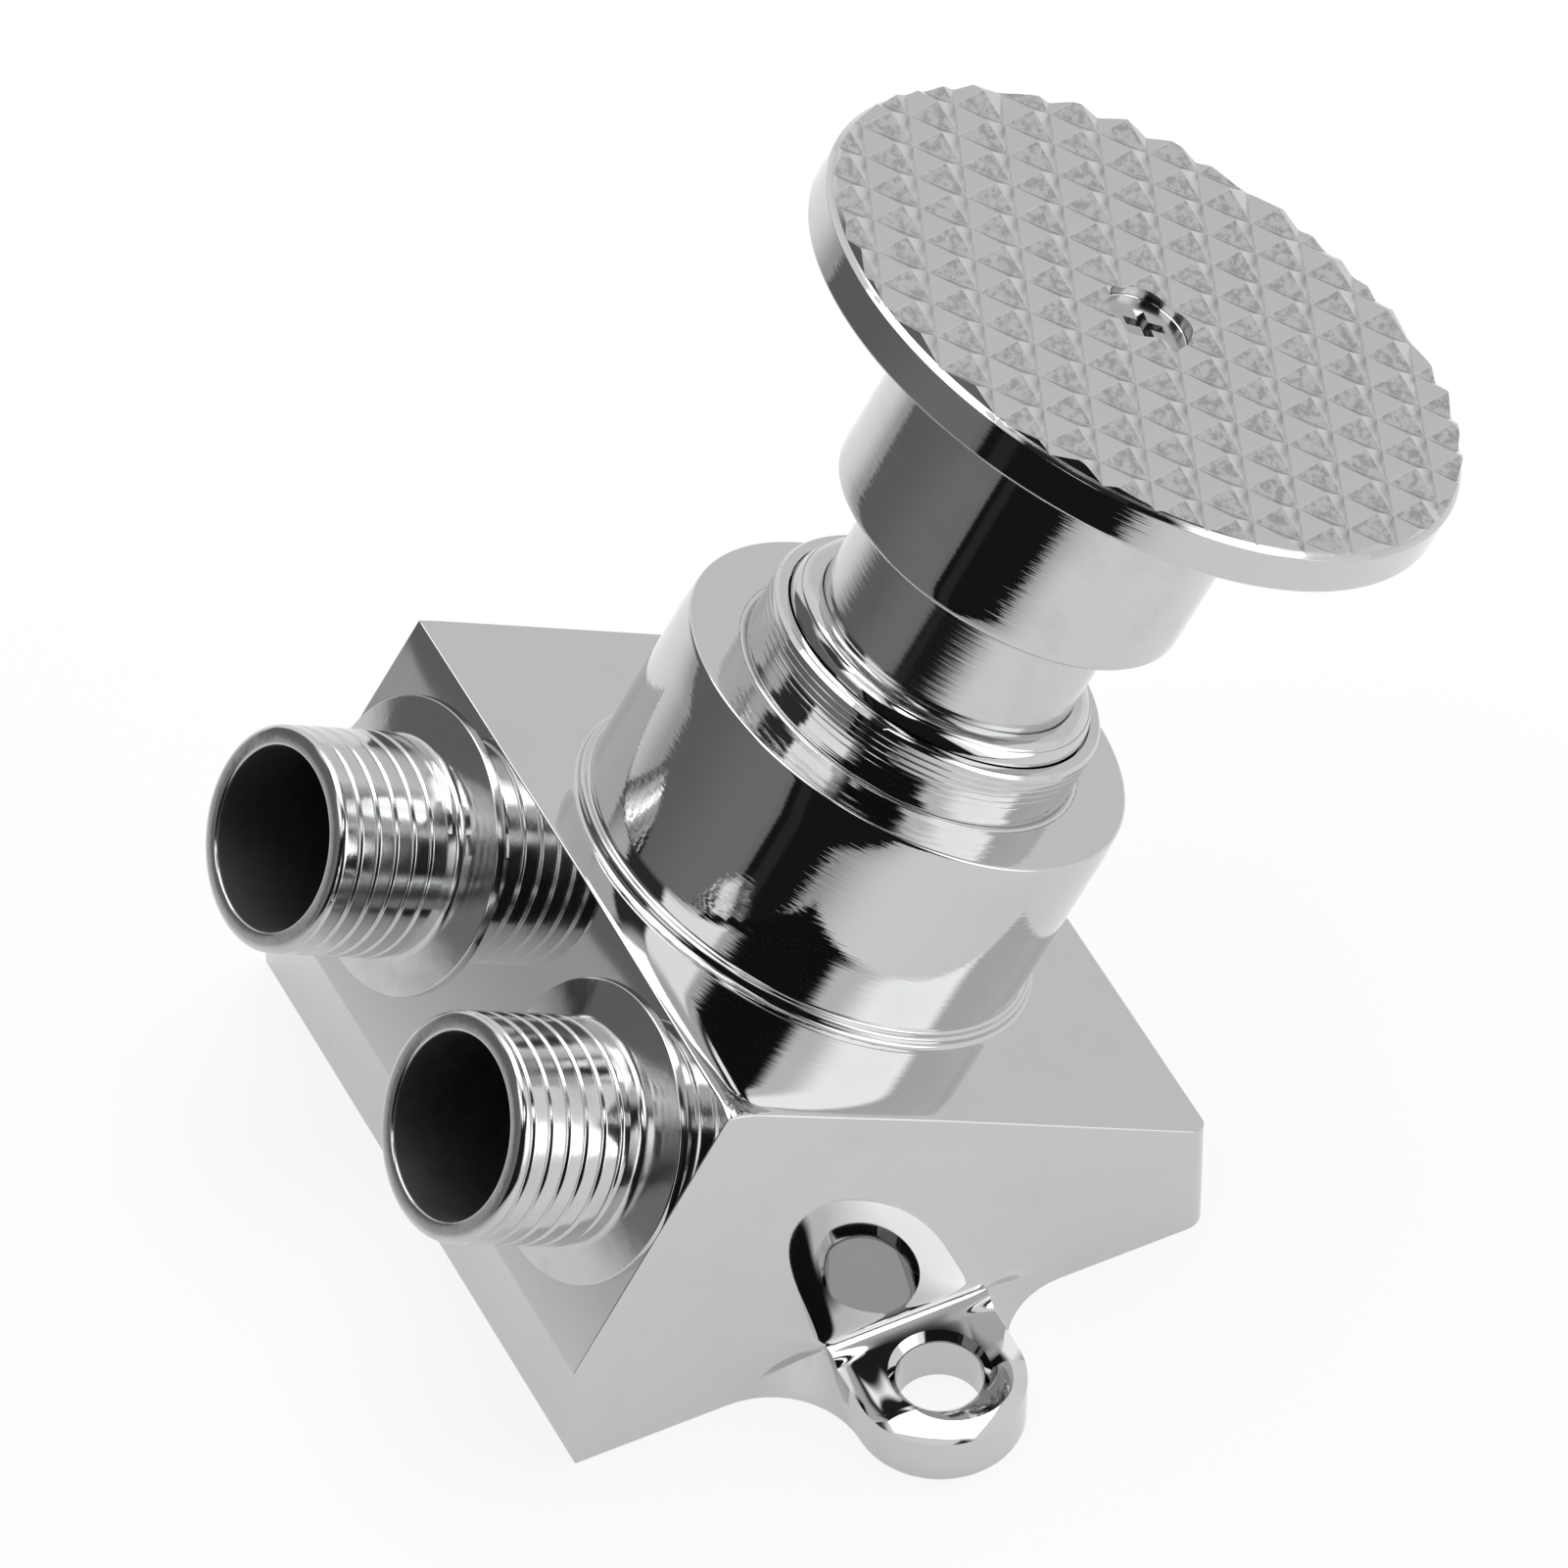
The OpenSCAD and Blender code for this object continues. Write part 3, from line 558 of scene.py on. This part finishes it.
def makeBlank():  # the plate's outline, taller than the pyramids
    p = plate
    rim, over = p["top"] - p["drop"], p["top"] + p["spare"]
    section = easeCorners([(0, p["foot"], 0), (p["radius"], p["foot"], p["footEdge"]),
                           (p["radius"], rim, p["rimEdge"]),
                           (p["radius"] - p["bevel"], rim + p["bevel"], p["bevelEdge"]),
                           (p["radius"] - p["bevel"] - p["inset"], over, 0), (0, over, 0)], 3)
    return spinSection("blank", section, p["steps"])


def sinkCutter():
    s, top = screwHole, plate["top"]
    half, sunk, under = s["sink"] / 2, top - s["sunk"], plate["foot"] - s["spare"]
    section = [(0, under), (s["hole"], under), (s["hole"], sunk - half + s["hole"]), (half, sunk),
               (half, top - s["mouthDrop"]), (half + s["mouthOut"], top + s["mouthRise"]),
               (half + s["mouthOut"], top + s["spare"]), (0, top + s["spare"])]
    return spinSection("sinkCutter", section, s["steps"])


def makePlate():
    t = tread
    piece = drawGrid("pedalPlate", t["cells"], t["cells"], t["cells"] * t["pitch"] * mm)
    bpy.ops.object.mode_set(mode="EDIT")
    bpy.ops.mesh.select_all(action="SELECT")
    bpy.ops.mesh.poke(offset=t["depth"] * mm, use_relative_offset=False, center_mode="MEDIAN")
    bpy.ops.object.mode_set(mode="OBJECT")
    applied(piece, "BEVEL", width=t["ease"] * mm, segments=2, limit_method="ANGLE",
            angle_limit=math.radians(t["easeFrom"]))
    closeOff(piece, (0, 0, -t["skirt"] * mm))
    shift = Matrix.Translation(Vector((*t["shift"], plate["top"] - t["depth"])) * mm)
    settle(piece, Matrix.Rotation(math.radians(t["turn"]), 4, "Z") @ shift)
    combine(piece, makeBlank(), "INTERSECT")
    combine(piece, sinkCutter(), "DIFFERENCE")
    tidy(piece)
    # the faces turned this way get the painted shade
    paintedShadeSide = Matrix.Rotation(math.radians(t["turn"]), 3, "Z") @ Vector((-1, 0, 0))
    low, high = t["paintedShadeSide"]
    paintedShadeFaces = [low < face.normal.dot(paintedShadeSide) < high and face.normal.z > t["upward"] for face in piece.data.polygons]
    settle(piece, onSpindle)
    finishPiece(piece, "tread", "pedal", "pedal_disc", plate["sharp"])
    return secondFinish(piece, "paintedShadeSide", paintedShadeFaces)


makePlate()


# screw with a cross recess
screw = {"shank": 1.97, "point": 0.35, "plain": 2, "neckEdge": 0.3, "head": 4.17, "headDrop": 0.12, "headIn": 0.1,
         "headEdge": 0.08, "top": 45.6, "length": 14.6, "steps": 64, "row": 0.07, "sharp": 30}
recess = {"wide": 4.4, "blade": 1.15, "deep": 1.5, "taper": 0.55, "above": 0.2, "turn": 12}
screwThread = {"inner": 1.4, "foot": 30.5, "ease": 0.3, "top": 42.5, "crest": 1.97, "pitch": 0.7, "depth": 0.38,
               "groove": 0.9, "start": 0}


def makeWing(turn):  # one slot of the cross, narrower at the bottom
    r, top = recess, screw["top"]
    bpy.ops.object.select_all(action="DESELECT")
    bpy.ops.mesh.primitive_cube_add(size=1)
    wing = bpy.context.object
    for vertex in wing.data.vertices:
        x, y, z = vertex.co
        taper = 1 if z > 0 else r["taper"]
        vertex.co = Vector((x * r["wide"] * taper, y * r["blade"] * (0.5 + 0.5 * taper),
                            top - r["deep"] if z < 0 else top + r["above"])) * mm
    return settle(wing, Matrix.Rotation(math.radians(tread["turn"] + r["turn"] + turn), 4, "Z"))


def makeScrew():
    s = screw
    foot = s["top"] - s["length"]
    neck = s["top"] - (s["head"] - s["shank"])
    section = [(0, foot), (s["shank"] - s["point"], foot)]
    section += rows(s["shank"], foot + s["point"], neck - s["plain"], s["row"])
    section += easeCorners([(s["shank"], neck, s["neckEdge"]), (s["head"], s["top"] - s["headDrop"], s["headEdge"]),
                            (s["head"] - s["headIn"], s["top"], 0), (0, s["top"], 0)], 3)
    piece = spinSection("pedalScrew", section, s["steps"])
    cutThread(piece, screwThread)
    for turn in (0, 90):
        combine(piece, makeWing(turn), "DIFFERENCE")
    tidy(piece)
    settle(piece, onSpindle)
    return finishPiece(piece, "screw", "pedal", "pedal_screw", s["sharp"])


makeScrew()


# cast body: a wedge whose side walls lean in a little
wedge = {"length": 65, "width": 67, "band": 12.5, "ridge": (-16.25, 40.646), "draft": 1, "edge": 0.15,
         "edgeSteps": 4, "edgeFrom": 25, "sharp": 30}
draftRun = math.tan(math.radians(wedge["draft"]))
toe = {"round": 2.2, "steps": 12, "spare": 60, "foot": -5, "tall": 60}
wear = {"cuts": 120, "reach": 3, "ridge": (0.08, 0.6), "ridgeFrom": 2, "ridgeOver": 26, "side": (0.04, 0.45),
        "sideOver": 25}


def leanIn(piece):
    for vertex in piece.data.vertices:
        vertex.co.y *= 1 - vertex.co.z / (wedge["width"] / 2 * mm) * draftRun


def toeBlock():  # larger than the wedge, but for the rounded corners of the toe
    half, wide, edge, spare = wedge["length"] / 2, wedge["width"] / 2, toe["round"], toe["spare"]
    near = arc((half - edge, edge - wide), edge, -90, 0, toe["steps"])
    far = [(x, -y) for x, y in reversed(near)]
    plan = [(-spare, -spare), (half - edge, -spare), *near, *far, (half - edge, spare), (-spare, spare)]
    block = fillRing(drawRing("toeBlock", [(x, y, toe["foot"]) for x, y in plan]), (0, 0, toe["tall"] * mm))
    leanIn(block)
    return block


def wearCorner(piece):  # polishing has rounded the top face towards the near end of the ridge
    toSpindle = onSpindle.inverted()
    only(piece)
    bpy.ops.object.mode_set(mode="EDIT")
    bpy.ops.mesh.select_mode(type="FACE")
    bpy.ops.mesh.select_all(action="DESELECT")
    bpy.ops.object.mode_set(mode="OBJECT")
    for face in piece.data.polygons:
        face.select = face.normal.dot(spindleUp) > 0.99  # the top face alone
    bpy.ops.object.mode_set(mode="EDIT")
    bpy.ops.mesh.subdivide(number_cuts=wear["cuts"])
    bpy.ops.mesh.select_mode(type="VERT")
    bpy.ops.object.mode_set(mode="OBJECT")
    for vertex in piece.data.vertices:
        x, y, z = (toSpindle @ vertex.co) / mm
        if abs(z + boss["height"]) > 0.01:  # not on the top face
            continue
        fromRidge = x - stand["portFace"]
        fromSide = y + wedge["width"] / 2 - vertex.co.z / mm * draftRun
        nearEnd = min(1, max(0, -y - wear["ridgeFrom"]) / wear["ridgeOver"])
        atRidge = wear["ridge"][0] + wear["ridge"][1] * nearEnd
        atSide = wear["side"][0] + wear["side"][1] * max(0, 1 - fromRidge / wear["sideOver"])
        drop = atRidge * max(0, 1 - fromRidge / wear["reach"]) ** 2
        drop += atSide * max(0, 1 - fromSide / wear["reach"]) ** 2
        vertex.co -= spindleUp * drop * mm


def roundEdges(piece):  # all sharp edges but those on the floor
    only(piece)
    bpy.ops.object.mode_set(mode="EDIT")
    bpy.ops.mesh.select_mode(type="EDGE")
    bpy.ops.mesh.select_all(action="DESELECT")
    bpy.ops.mesh.edges_select_sharp(sharpness=math.radians(wedge["edgeFrom"]))
    bpy.ops.object.mode_set(mode="OBJECT")
    points = piece.data.vertices
    for face in piece.data.polygons:
        face.select = False
    for edge in piece.data.edges:
        edge.select = edge.select and any(points[i].co.z > weld for i in edge.vertices)
    bpy.ops.object.mode_set(mode="EDIT")
    bpy.ops.mesh.bevel(offset=wedge["edge"] * mm, segments=wedge["edgeSteps"], affect="EDGES")
    bpy.ops.mesh.select_mode(type="VERT")
    bpy.ops.object.mode_set(mode="OBJECT")


def makeWedge():
    w = wedge
    half, wide = w["length"] / 2, w["width"] / 2
    outline = [(-half, 0), (half, 0), (half, w["band"]), w["ridge"], (-half, w["band"])]
    piece = fillRing(drawRing("valveBody", [(x, -wide, z) for x, z in outline]), (0, 2 * wide * mm, 0))
    leanIn(piece)
    wearCorner(piece)
    roundEdges(piece)
    combine(piece, toeBlock(), "INTERSECT")
    return piece


# boss with a bead round its foot, worn in slightly towards its top
boss = {"radius": 22.51, "height": 21, "sunk": 2, "root": 1.2, "seat": 0.02, "seatRound": 0.5, "bead": 0.8,
        "beadTop": 1.0, "beadRound": 0.35, "crease": 0.3, "worn": 4, "wornRows": (0, 0.7, 1.4, 2.1, 2.8, 3.5),
        "wornCurve": 80, "topIn": 0.2, "topRound": 0.3, "steps": 256}


def makeBoss():
    b = boss
    foot, bead = -b["height"], b["radius"] + b["bead"]
    worn = [(b["radius"] - rise * rise / b["wornCurve"], rise - b["worn"], 0) for rise in b["wornRows"]]
    section = easeCorners([(0, foot - b["sunk"], 0), (bead + b["root"], foot - b["sunk"], 0),
                           (bead + b["root"], foot - b["seat"], 0), (bead, foot - b["seat"], b["seatRound"]),
                           (bead, foot + b["beadTop"], b["beadRound"]),
                           (b["radius"], foot + b["beadTop"], b["crease"]), *worn,
                           (b["radius"] - b["topIn"], 0, b["topRound"]), (0, 0, 0)], 5)
    return settle(spinSection("boss", section, b["steps"]), onSpindle)


# lugs: flares are (height, radius) of the hollow between lug and wall
lug = {"y": -42.5, "radius": 8, "side": -33.5, "inside": 1, "thick": 4.9, "crown": 0.9,
       "flares": [(0, 9), (6.5, 2), (7.5, 0.9), (11, 0.5)]}
lugTop = lug["thick"] + lug["crown"]
crown = {"columns": 120, "rows": 110, "wide": 36, "deep": 22, "behind": 9, "flat": (2.2, 4.4), "power": 4,
         "most": 1.6, "skirt": 20}


def lugOutline(height, flare):
    g = lug
    wall, inside = g["side"] + height * draftRun, g["side"] + g["inside"]
    right = arc((g["radius"] + flare, wall - flare), flare, 90, 180, steps=12)
    left = [(-x, y) for x, y in reversed(right)]
    end = arc((0, g["y"]), g["radius"], 0, -180, steps=36)
    return [(right[0][0], inside)] + right + end + left + [(left[-1][0], inside)]


def makeCrown():  # a block under the lug's rounded top
    g, c = lug, crown
    block = drawGrid("crown", c["columns"], c["rows"])
    for vertex in block.data.vertices:
        x, y = vertex.co.x * c["wide"], g["side"] - c["behind"] + vertex.co.y * c["deep"]
        rounded = smooth(g["side"] - y, *c["flat"])  # it is flat along the wall
        away = math.hypot(x * rounded, min(0, y - g["y"])) / g["radius"]
        fall = min(c["most"], away ** c["power"])
        vertex.co = Vector((x, y, g["thick"] + g["crown"] * (1 - fall))) * mm
    closeOff(block, (0, 0, -c["skirt"] * mm))
    return block


def makeLug():  # outlines stacked upwards, each with a smaller flare, under a crowned top
    flares = lug["flares"]
    piece = fillRing(drawRing("lug", [(x, y, 0) for x, y in lugOutline(*flares[0])]))
    for (low, before), (high, after) in zip(flares, flares[1:]):
        only(piece)
        bpy.ops.object.mode_set(mode="EDIT")
        bpy.ops.mesh.extrude_region_move(TRANSFORM_OT_translate={"value": (0, 0, (high - low) * mm)})
        bpy.ops.object.mode_set(mode="OBJECT")
        below, above = lugOutline(low, before), lugOutline(high, after)
        for vertex in piece.data.vertices:
            if vertex.select:
                near = min(range(len(below)), key=lambda i: (Vector(below[i]) * mm - vertex.co.xy).length)
                vertex.co.xy = Vector(above[near]) * mm
    tidy(piece)
    combine(piece, makeCrown(), "INTERSECT")
    tidy(piece)
    return piece


# the wall swells out towards the root of a lug, in a hollow curve with its ends in degrees
blend = {"out": 2.4, "tall": 34, "wide": (7, 19), "margin": 1, "foot": 0.2, "low": 0.4, "end": 86, "sideEnd": 74,
         "side": (7, 10.5), "ridge": (0.5, 8), "sunk": 0.06, "deep": 5, "columns": 120, "rows": 80}


def wedgeTop(x):
    ridgeX, ridgeZ = wedge["ridge"]
    run = wedge["length"] / 2 - ridgeX if x > ridgeX else wedge["length"] / 2 + ridgeX
    return ridgeZ - abs(x - ridgeX) * (ridgeZ - wedge["band"]) / run


def makeBlend():
    b = blend
    piece = drawGrid("blend", b["columns"], b["rows"])
    for vertex in piece.data.vertices:
        x, along = vertex.co.x * 2 * (b["wide"][1] + b["margin"]), vertex.co.y + 0.5
        angle = math.radians(b["end"]) * min(1, (1 - along) / (1 - b["foot"]))
        z = lugTop + b["tall"] * (1 - math.sin(angle))
        if along < b["foot"]:  # below the lug's top
            z = b["low"] + (z - b["low"]) * along / b["foot"]
        z = min(z, wedgeTop(x) - b["ridge"][0])
        limit = b["end"] + (b["sideEnd"] - b["end"]) * smooth(abs(x), *b["side"])  # no ledge beside the lug
        swell = b["out"] * (1 - math.cos(min(angle, math.radians(limit)))) * smooth(along, 0, b["foot"])
        swell *= (1 - smooth(abs(x), *b["wide"])) * smooth(wedgeTop(x) - z, *b["ridge"])
        wall = lug["side"] + z * draftRun
        vertex.co = Vector((x, wall + b["sunk"] - swell, z)) * mm
    tidy(piece)
    closeOff(piece, (0, b["deep"] * mm, 0))
    tidy(piece)
    return piece


# bolt holes, and the bores of boss and ports as steps of (radius, depth)
bolt = {"hole": 4.0, "chamfer": 0.25, "mouthDrop": 0.8, "mouthRound": 0.5, "mouthOut": 1.2, "mouthRise": 0.4,
        "spare": 1, "steps": 96}
bores = {"above": 1, "valve": [(16.66, -19.1), (10.98, -31.49), (8.6, -43.49), (4.84, -46.09)], "valveSteps": 128,
         "port": [(10.5075, -9.8), (8.3, -31.15)], "portSteps": 96}


def boltCutter():
    b = bolt
    hole, foot, mouth = b["hole"], b["hole"] + b["chamfer"], b["hole"] + b["mouthOut"]
    section = easeCorners([(0, -b["spare"], 0), (foot, -b["spare"], 0), (foot, 0, 0), (hole, b["chamfer"], 0),
                           (hole, lugTop - b["mouthDrop"], b["mouthRound"]), (mouth, lugTop + b["mouthRise"], 0),
                           (mouth, lugTop + b["spare"], 0), (0, lugTop + b["spare"], 0)], 4)
    place = Matrix.Translation(Vector((0, lug["y"], 0)) * mm)
    return settle(spinSection("boltCutter", section, b["steps"]), place)


def boreCutter(bore, steps, where):
    level = bores["above"]
    section = [(0, level)]
    for radius, depth in bore:
        section += [(radius, level), (radius, depth)]
        level = depth
    return settle(spinSection("boreCutter", section + [(0, level)], steps), where)


def flipped(piece):  # the same on the other side
    settle(piece, Matrix.Scale(-1, 4, (0, 1, 0)))
    tidy(piece)
    return piece


def makeBody():
    body = makeWedge()
    combine(body, makeBoss(), "UNION")
    for make, operation in ((makeBlend, "UNION"), (makeLug, "UNION"), (boltCutter, "DIFFERENCE")):
        combine(body, make(), operation)
        combine(body, flipped(make()), operation)
    combine(body, boreCutter(bores["valve"], bores["valveSteps"], onSpindle), "DIFFERENCE")
    for side in (-1, 1):
        combine(body, boreCutter(bores["port"], bores["portSteps"], onPort(side)), "DIFFERENCE")
    tidy(body)
    return finishPiece(body, "body", "casing", "valve_body", wedge["sharp"])


makeBody()


# return spring, one wire wound on a helix
spring = {"radius": 9.1, "wire": 0.9, "foot": -10.7, "top": 27.9, "curls": 10, "sides": 14, "steps": 40,
          "cap": 29, "travel": 8, "slack": 0.4, "sharp": 40}


def makeSpring():
    s = spring
    circle = arc((0, 0), s["wire"], 0, 360 - 360 / s["sides"], s["sides"] - 1)
    piece = drawRing("returnSpring", [(s["radius"] + x, 0, s["foot"] + y) for x, y in circle])
    applied(piece, "SCREW", axis="Z", angle=fullTurn, screw_offset=(s["top"] - s["foot"]) / s["curls"] * mm,
            iterations=s["curls"], steps=s["steps"], render_steps=s["steps"])
    only(piece)
    bpy.ops.object.mode_set(mode="EDIT")
    bpy.ops.mesh.select_all(action="SELECT")
    bpy.ops.mesh.fill_holes(sides=s["sides"])
    bpy.ops.object.mode_set(mode="OBJECT")
    tidy(piece)
    settle(piece, onSpindle)
    finishPiece(piece, "wire", "carrier", "return_spring", s["sharp"])
    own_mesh(piece)
    return piece


makeSpring()

# CAD nodes that stay inside
kept = {"nipple_seals": "rubber", "bonnet_gasket": "rubber", "sleeve_seal": "rubber", "stem_seals": "rubber",
        "seat_ring": "brass", "seat_seal": "rubber", "spring_seat": "steel", "spring_cap": "steel",
        "spindle": "brass", "poppet": "brass", "poppet_washer": "rubber", "poppet_nut": "brass"}
for node, finish in kept.items():
    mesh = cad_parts[node].data
    mesh.materials.clear()
    mesh.materials.append(finishes[finish])
print("inner pieces finished:", len(kept))

# studio: a white sheet on the floor, bright behind, dark on the camera's side
# the sheet carries a painted shade towards its left edge, seen in mirrors and in bounced light
studio = {"corners": [(-0.24, -0.235), (-0.13, -0.312), (1.6, -0.312), (1.6, 1.6), (-0.24, 1.6)], "low": -0.2,
          "paper": 0.9, "seen": 0.87, "mirrored": 0.65, "paintedShadeFade": (-0.2, -0.02), "paintedShadeTone": 0.48}
lamp = {"place": (0.1, 0.16, 0.62), "size": 0.5, "power": 2.2}


def makeFloor():
    floor = fillRing(drawRing("floor", [(x / mm, y / mm, studio["low"]) for x, y in studio["corners"]]))
    finish = bpy.data.materials.new("whiteSheet")
    finish.use_nodes = True
    tree = finish.node_tree
    tree.nodes.clear()
    wire = Wire(tree)
    path = wire.make("ShaderNodeLightPath")
    seen, glossy, clear = path.others("Is Camera Ray", "Is Glossy Ray", "Is Transmission Ray")
    share = seen * studio["seen"] + (1 - seen) * (glossy.maths("MAXIMUM", glossy, clear) * studio["mirrored"])
    across = wire.make("ShaderNodeTexCoord", out=3).split()[0]
    even = across.ease(*studio["paintedShadeFade"])  # painted shade: in mirrors the sheet is painted darker towards its left edge
    even = even.maths("MAXIMUM", even, seen)
    paintedShadeTone, paper = studio["paintedShadeTone"], studio["paper"]
    # the darker tone here is the painted shade
    matt = wire.make("ShaderNodeBsdfDiffuse", None, {"Color": even.tint((paintedShadeTone * paper,) * 3, (paper,) * 3)})
    white = wire.make("ShaderNodeEmission", None, {"Color": even.tint((paintedShadeTone,) * 3, (1, 1, 1)), "Strength": 1})
    mixed = wire.make("ShaderNodeMixShader", None, {0: share, 1: matt, 2: white})
    end = tree.nodes.new("ShaderNodeOutputMaterial")
    tree.links.new(mixed.socket, end.inputs[0])
    floor.data.materials.append(finish)
    return floor


# the room by its directions: turn is 0 at the front and -90 on the left, rise is the sine of the height;
# each area comes in from the first number to the second and goes out from the third to the fourth
room = {"white": 1.0, "areas": [
    {"tone": 0.17, "turn": (-172, -168, -77, -73), "rise": (-2, -1.9, 0.6, 0.72)},  # left side
    {"tone": 0.23, "turn": (-125, -90, -77, -73), "rise": (-2, -1.9, 0.6, 0.72)},  # its front end
    {"tone": 0.06, "turn": (-148, -144, -105, -99), "rise": (0.6, 0.72, 0.88, 0.92)},  # above the left side
    {"tone": 0.03, "turn": (-180, -179, -152, -144), "rise": (0.86, 0.9, 0.97, 0.985)},  # gap overhead
    {"tone": 0.03, "turn": (120, 130, 181, 182), "rise": (0.86, 0.9, 0.965, 0.98)},  # its right half
    {"tone": 0.84, "turn": (90, 105, 150, 165), "rise": (-0.3, -0.2, 0.3, 0.45)},  # behind on the right
    {"tone": 0.012, "turn": (-77, -73, 48, 62), "rise": (-2, -1.9, 0.8, 0.815)},  # camera's side
    {"tone": 0.03, "turn": (-40, -30, 40, 55), "rise": (0.79, 0.8, 0.975, 0.985)},  # gap above the camera
    {"tone": 2.4, "turn": (-30, -20, 14, 22), "rise": (0.82, 0.84, 0.9, 0.915)},  # strip lamp in that gap
    {"tone": 0.03, "turn": (-71, -69, -66, -64), "rise": (-2, -1.9, 0.6, 0.7)},  # stand on the left
    {"tone": 1.3, "turn": (4, 10, 30, 45), "rise": (-0.15, -0.05, 0.58, 0.68)},  # window on the camera's side
    {"tone": 2.3, "turn": (15, 30, 55, 62), "rise": (-0.15, -0.05, 0.58, 0.68)},  # its brighter part
    {"tone": 2.0, "turn": (-106, -100, -52, -46), "rise": (0.76, 0.8, 0.9, 0.95)}]}  # high lamp on the left


def makeRoom():
    world = bpy.data.worlds.new("room")
    bpy.context.scene.world = world
    world.use_nodes = True
    tree = world.node_tree
    tree.nodes.clear()
    wire = Wire(tree)
    x, y, rise = wire.make("ShaderNodeTexCoord").split()
    turn = wire.maths("ARCTAN2", x, y * -1) * (180 / math.pi)
    tone = rise * 0 + room["white"]
    for area in room["areas"]:
        inside = turn.ease(*area["turn"][:2]) * turn.ease(*area["turn"][:1:-1])
        inside = inside * rise.ease(*area["rise"][:2]) * rise.ease(*area["rise"][:1:-1])
        tone = tone + inside * (area["tone"] - tone)
    seen = wire.make("ShaderNodeLightPath")
    strength = tone + seen * (1 - tone)  # the camera itself sees plain white
    light = wire.make("ShaderNodeBackground", None, {"Color": (1, 1, 1, 1), "Strength": strength})
    end = tree.nodes.new("ShaderNodeOutputWorld")
    tree.links.new(light.socket, end.inputs[0])


def makeLamp():
    bpy.ops.object.select_all(action="DESELECT")
    bpy.ops.object.light_add(type="AREA", location=lamp["place"])
    softbox = bpy.context.object
    softbox.name = "softbox"
    softbox.data.size = lamp["size"]
    softbox.data.energy = lamp["power"]
    softbox.rotation_euler = Vector(lamp["place"]).to_track_quat("Z", "Y").to_euler()
    softbox.visible_camera = False


makeFloor()
makeRoom()
makeLamp()
bpy.context.scene.view_settings.view_transform = "Standard"
print("studio lit")
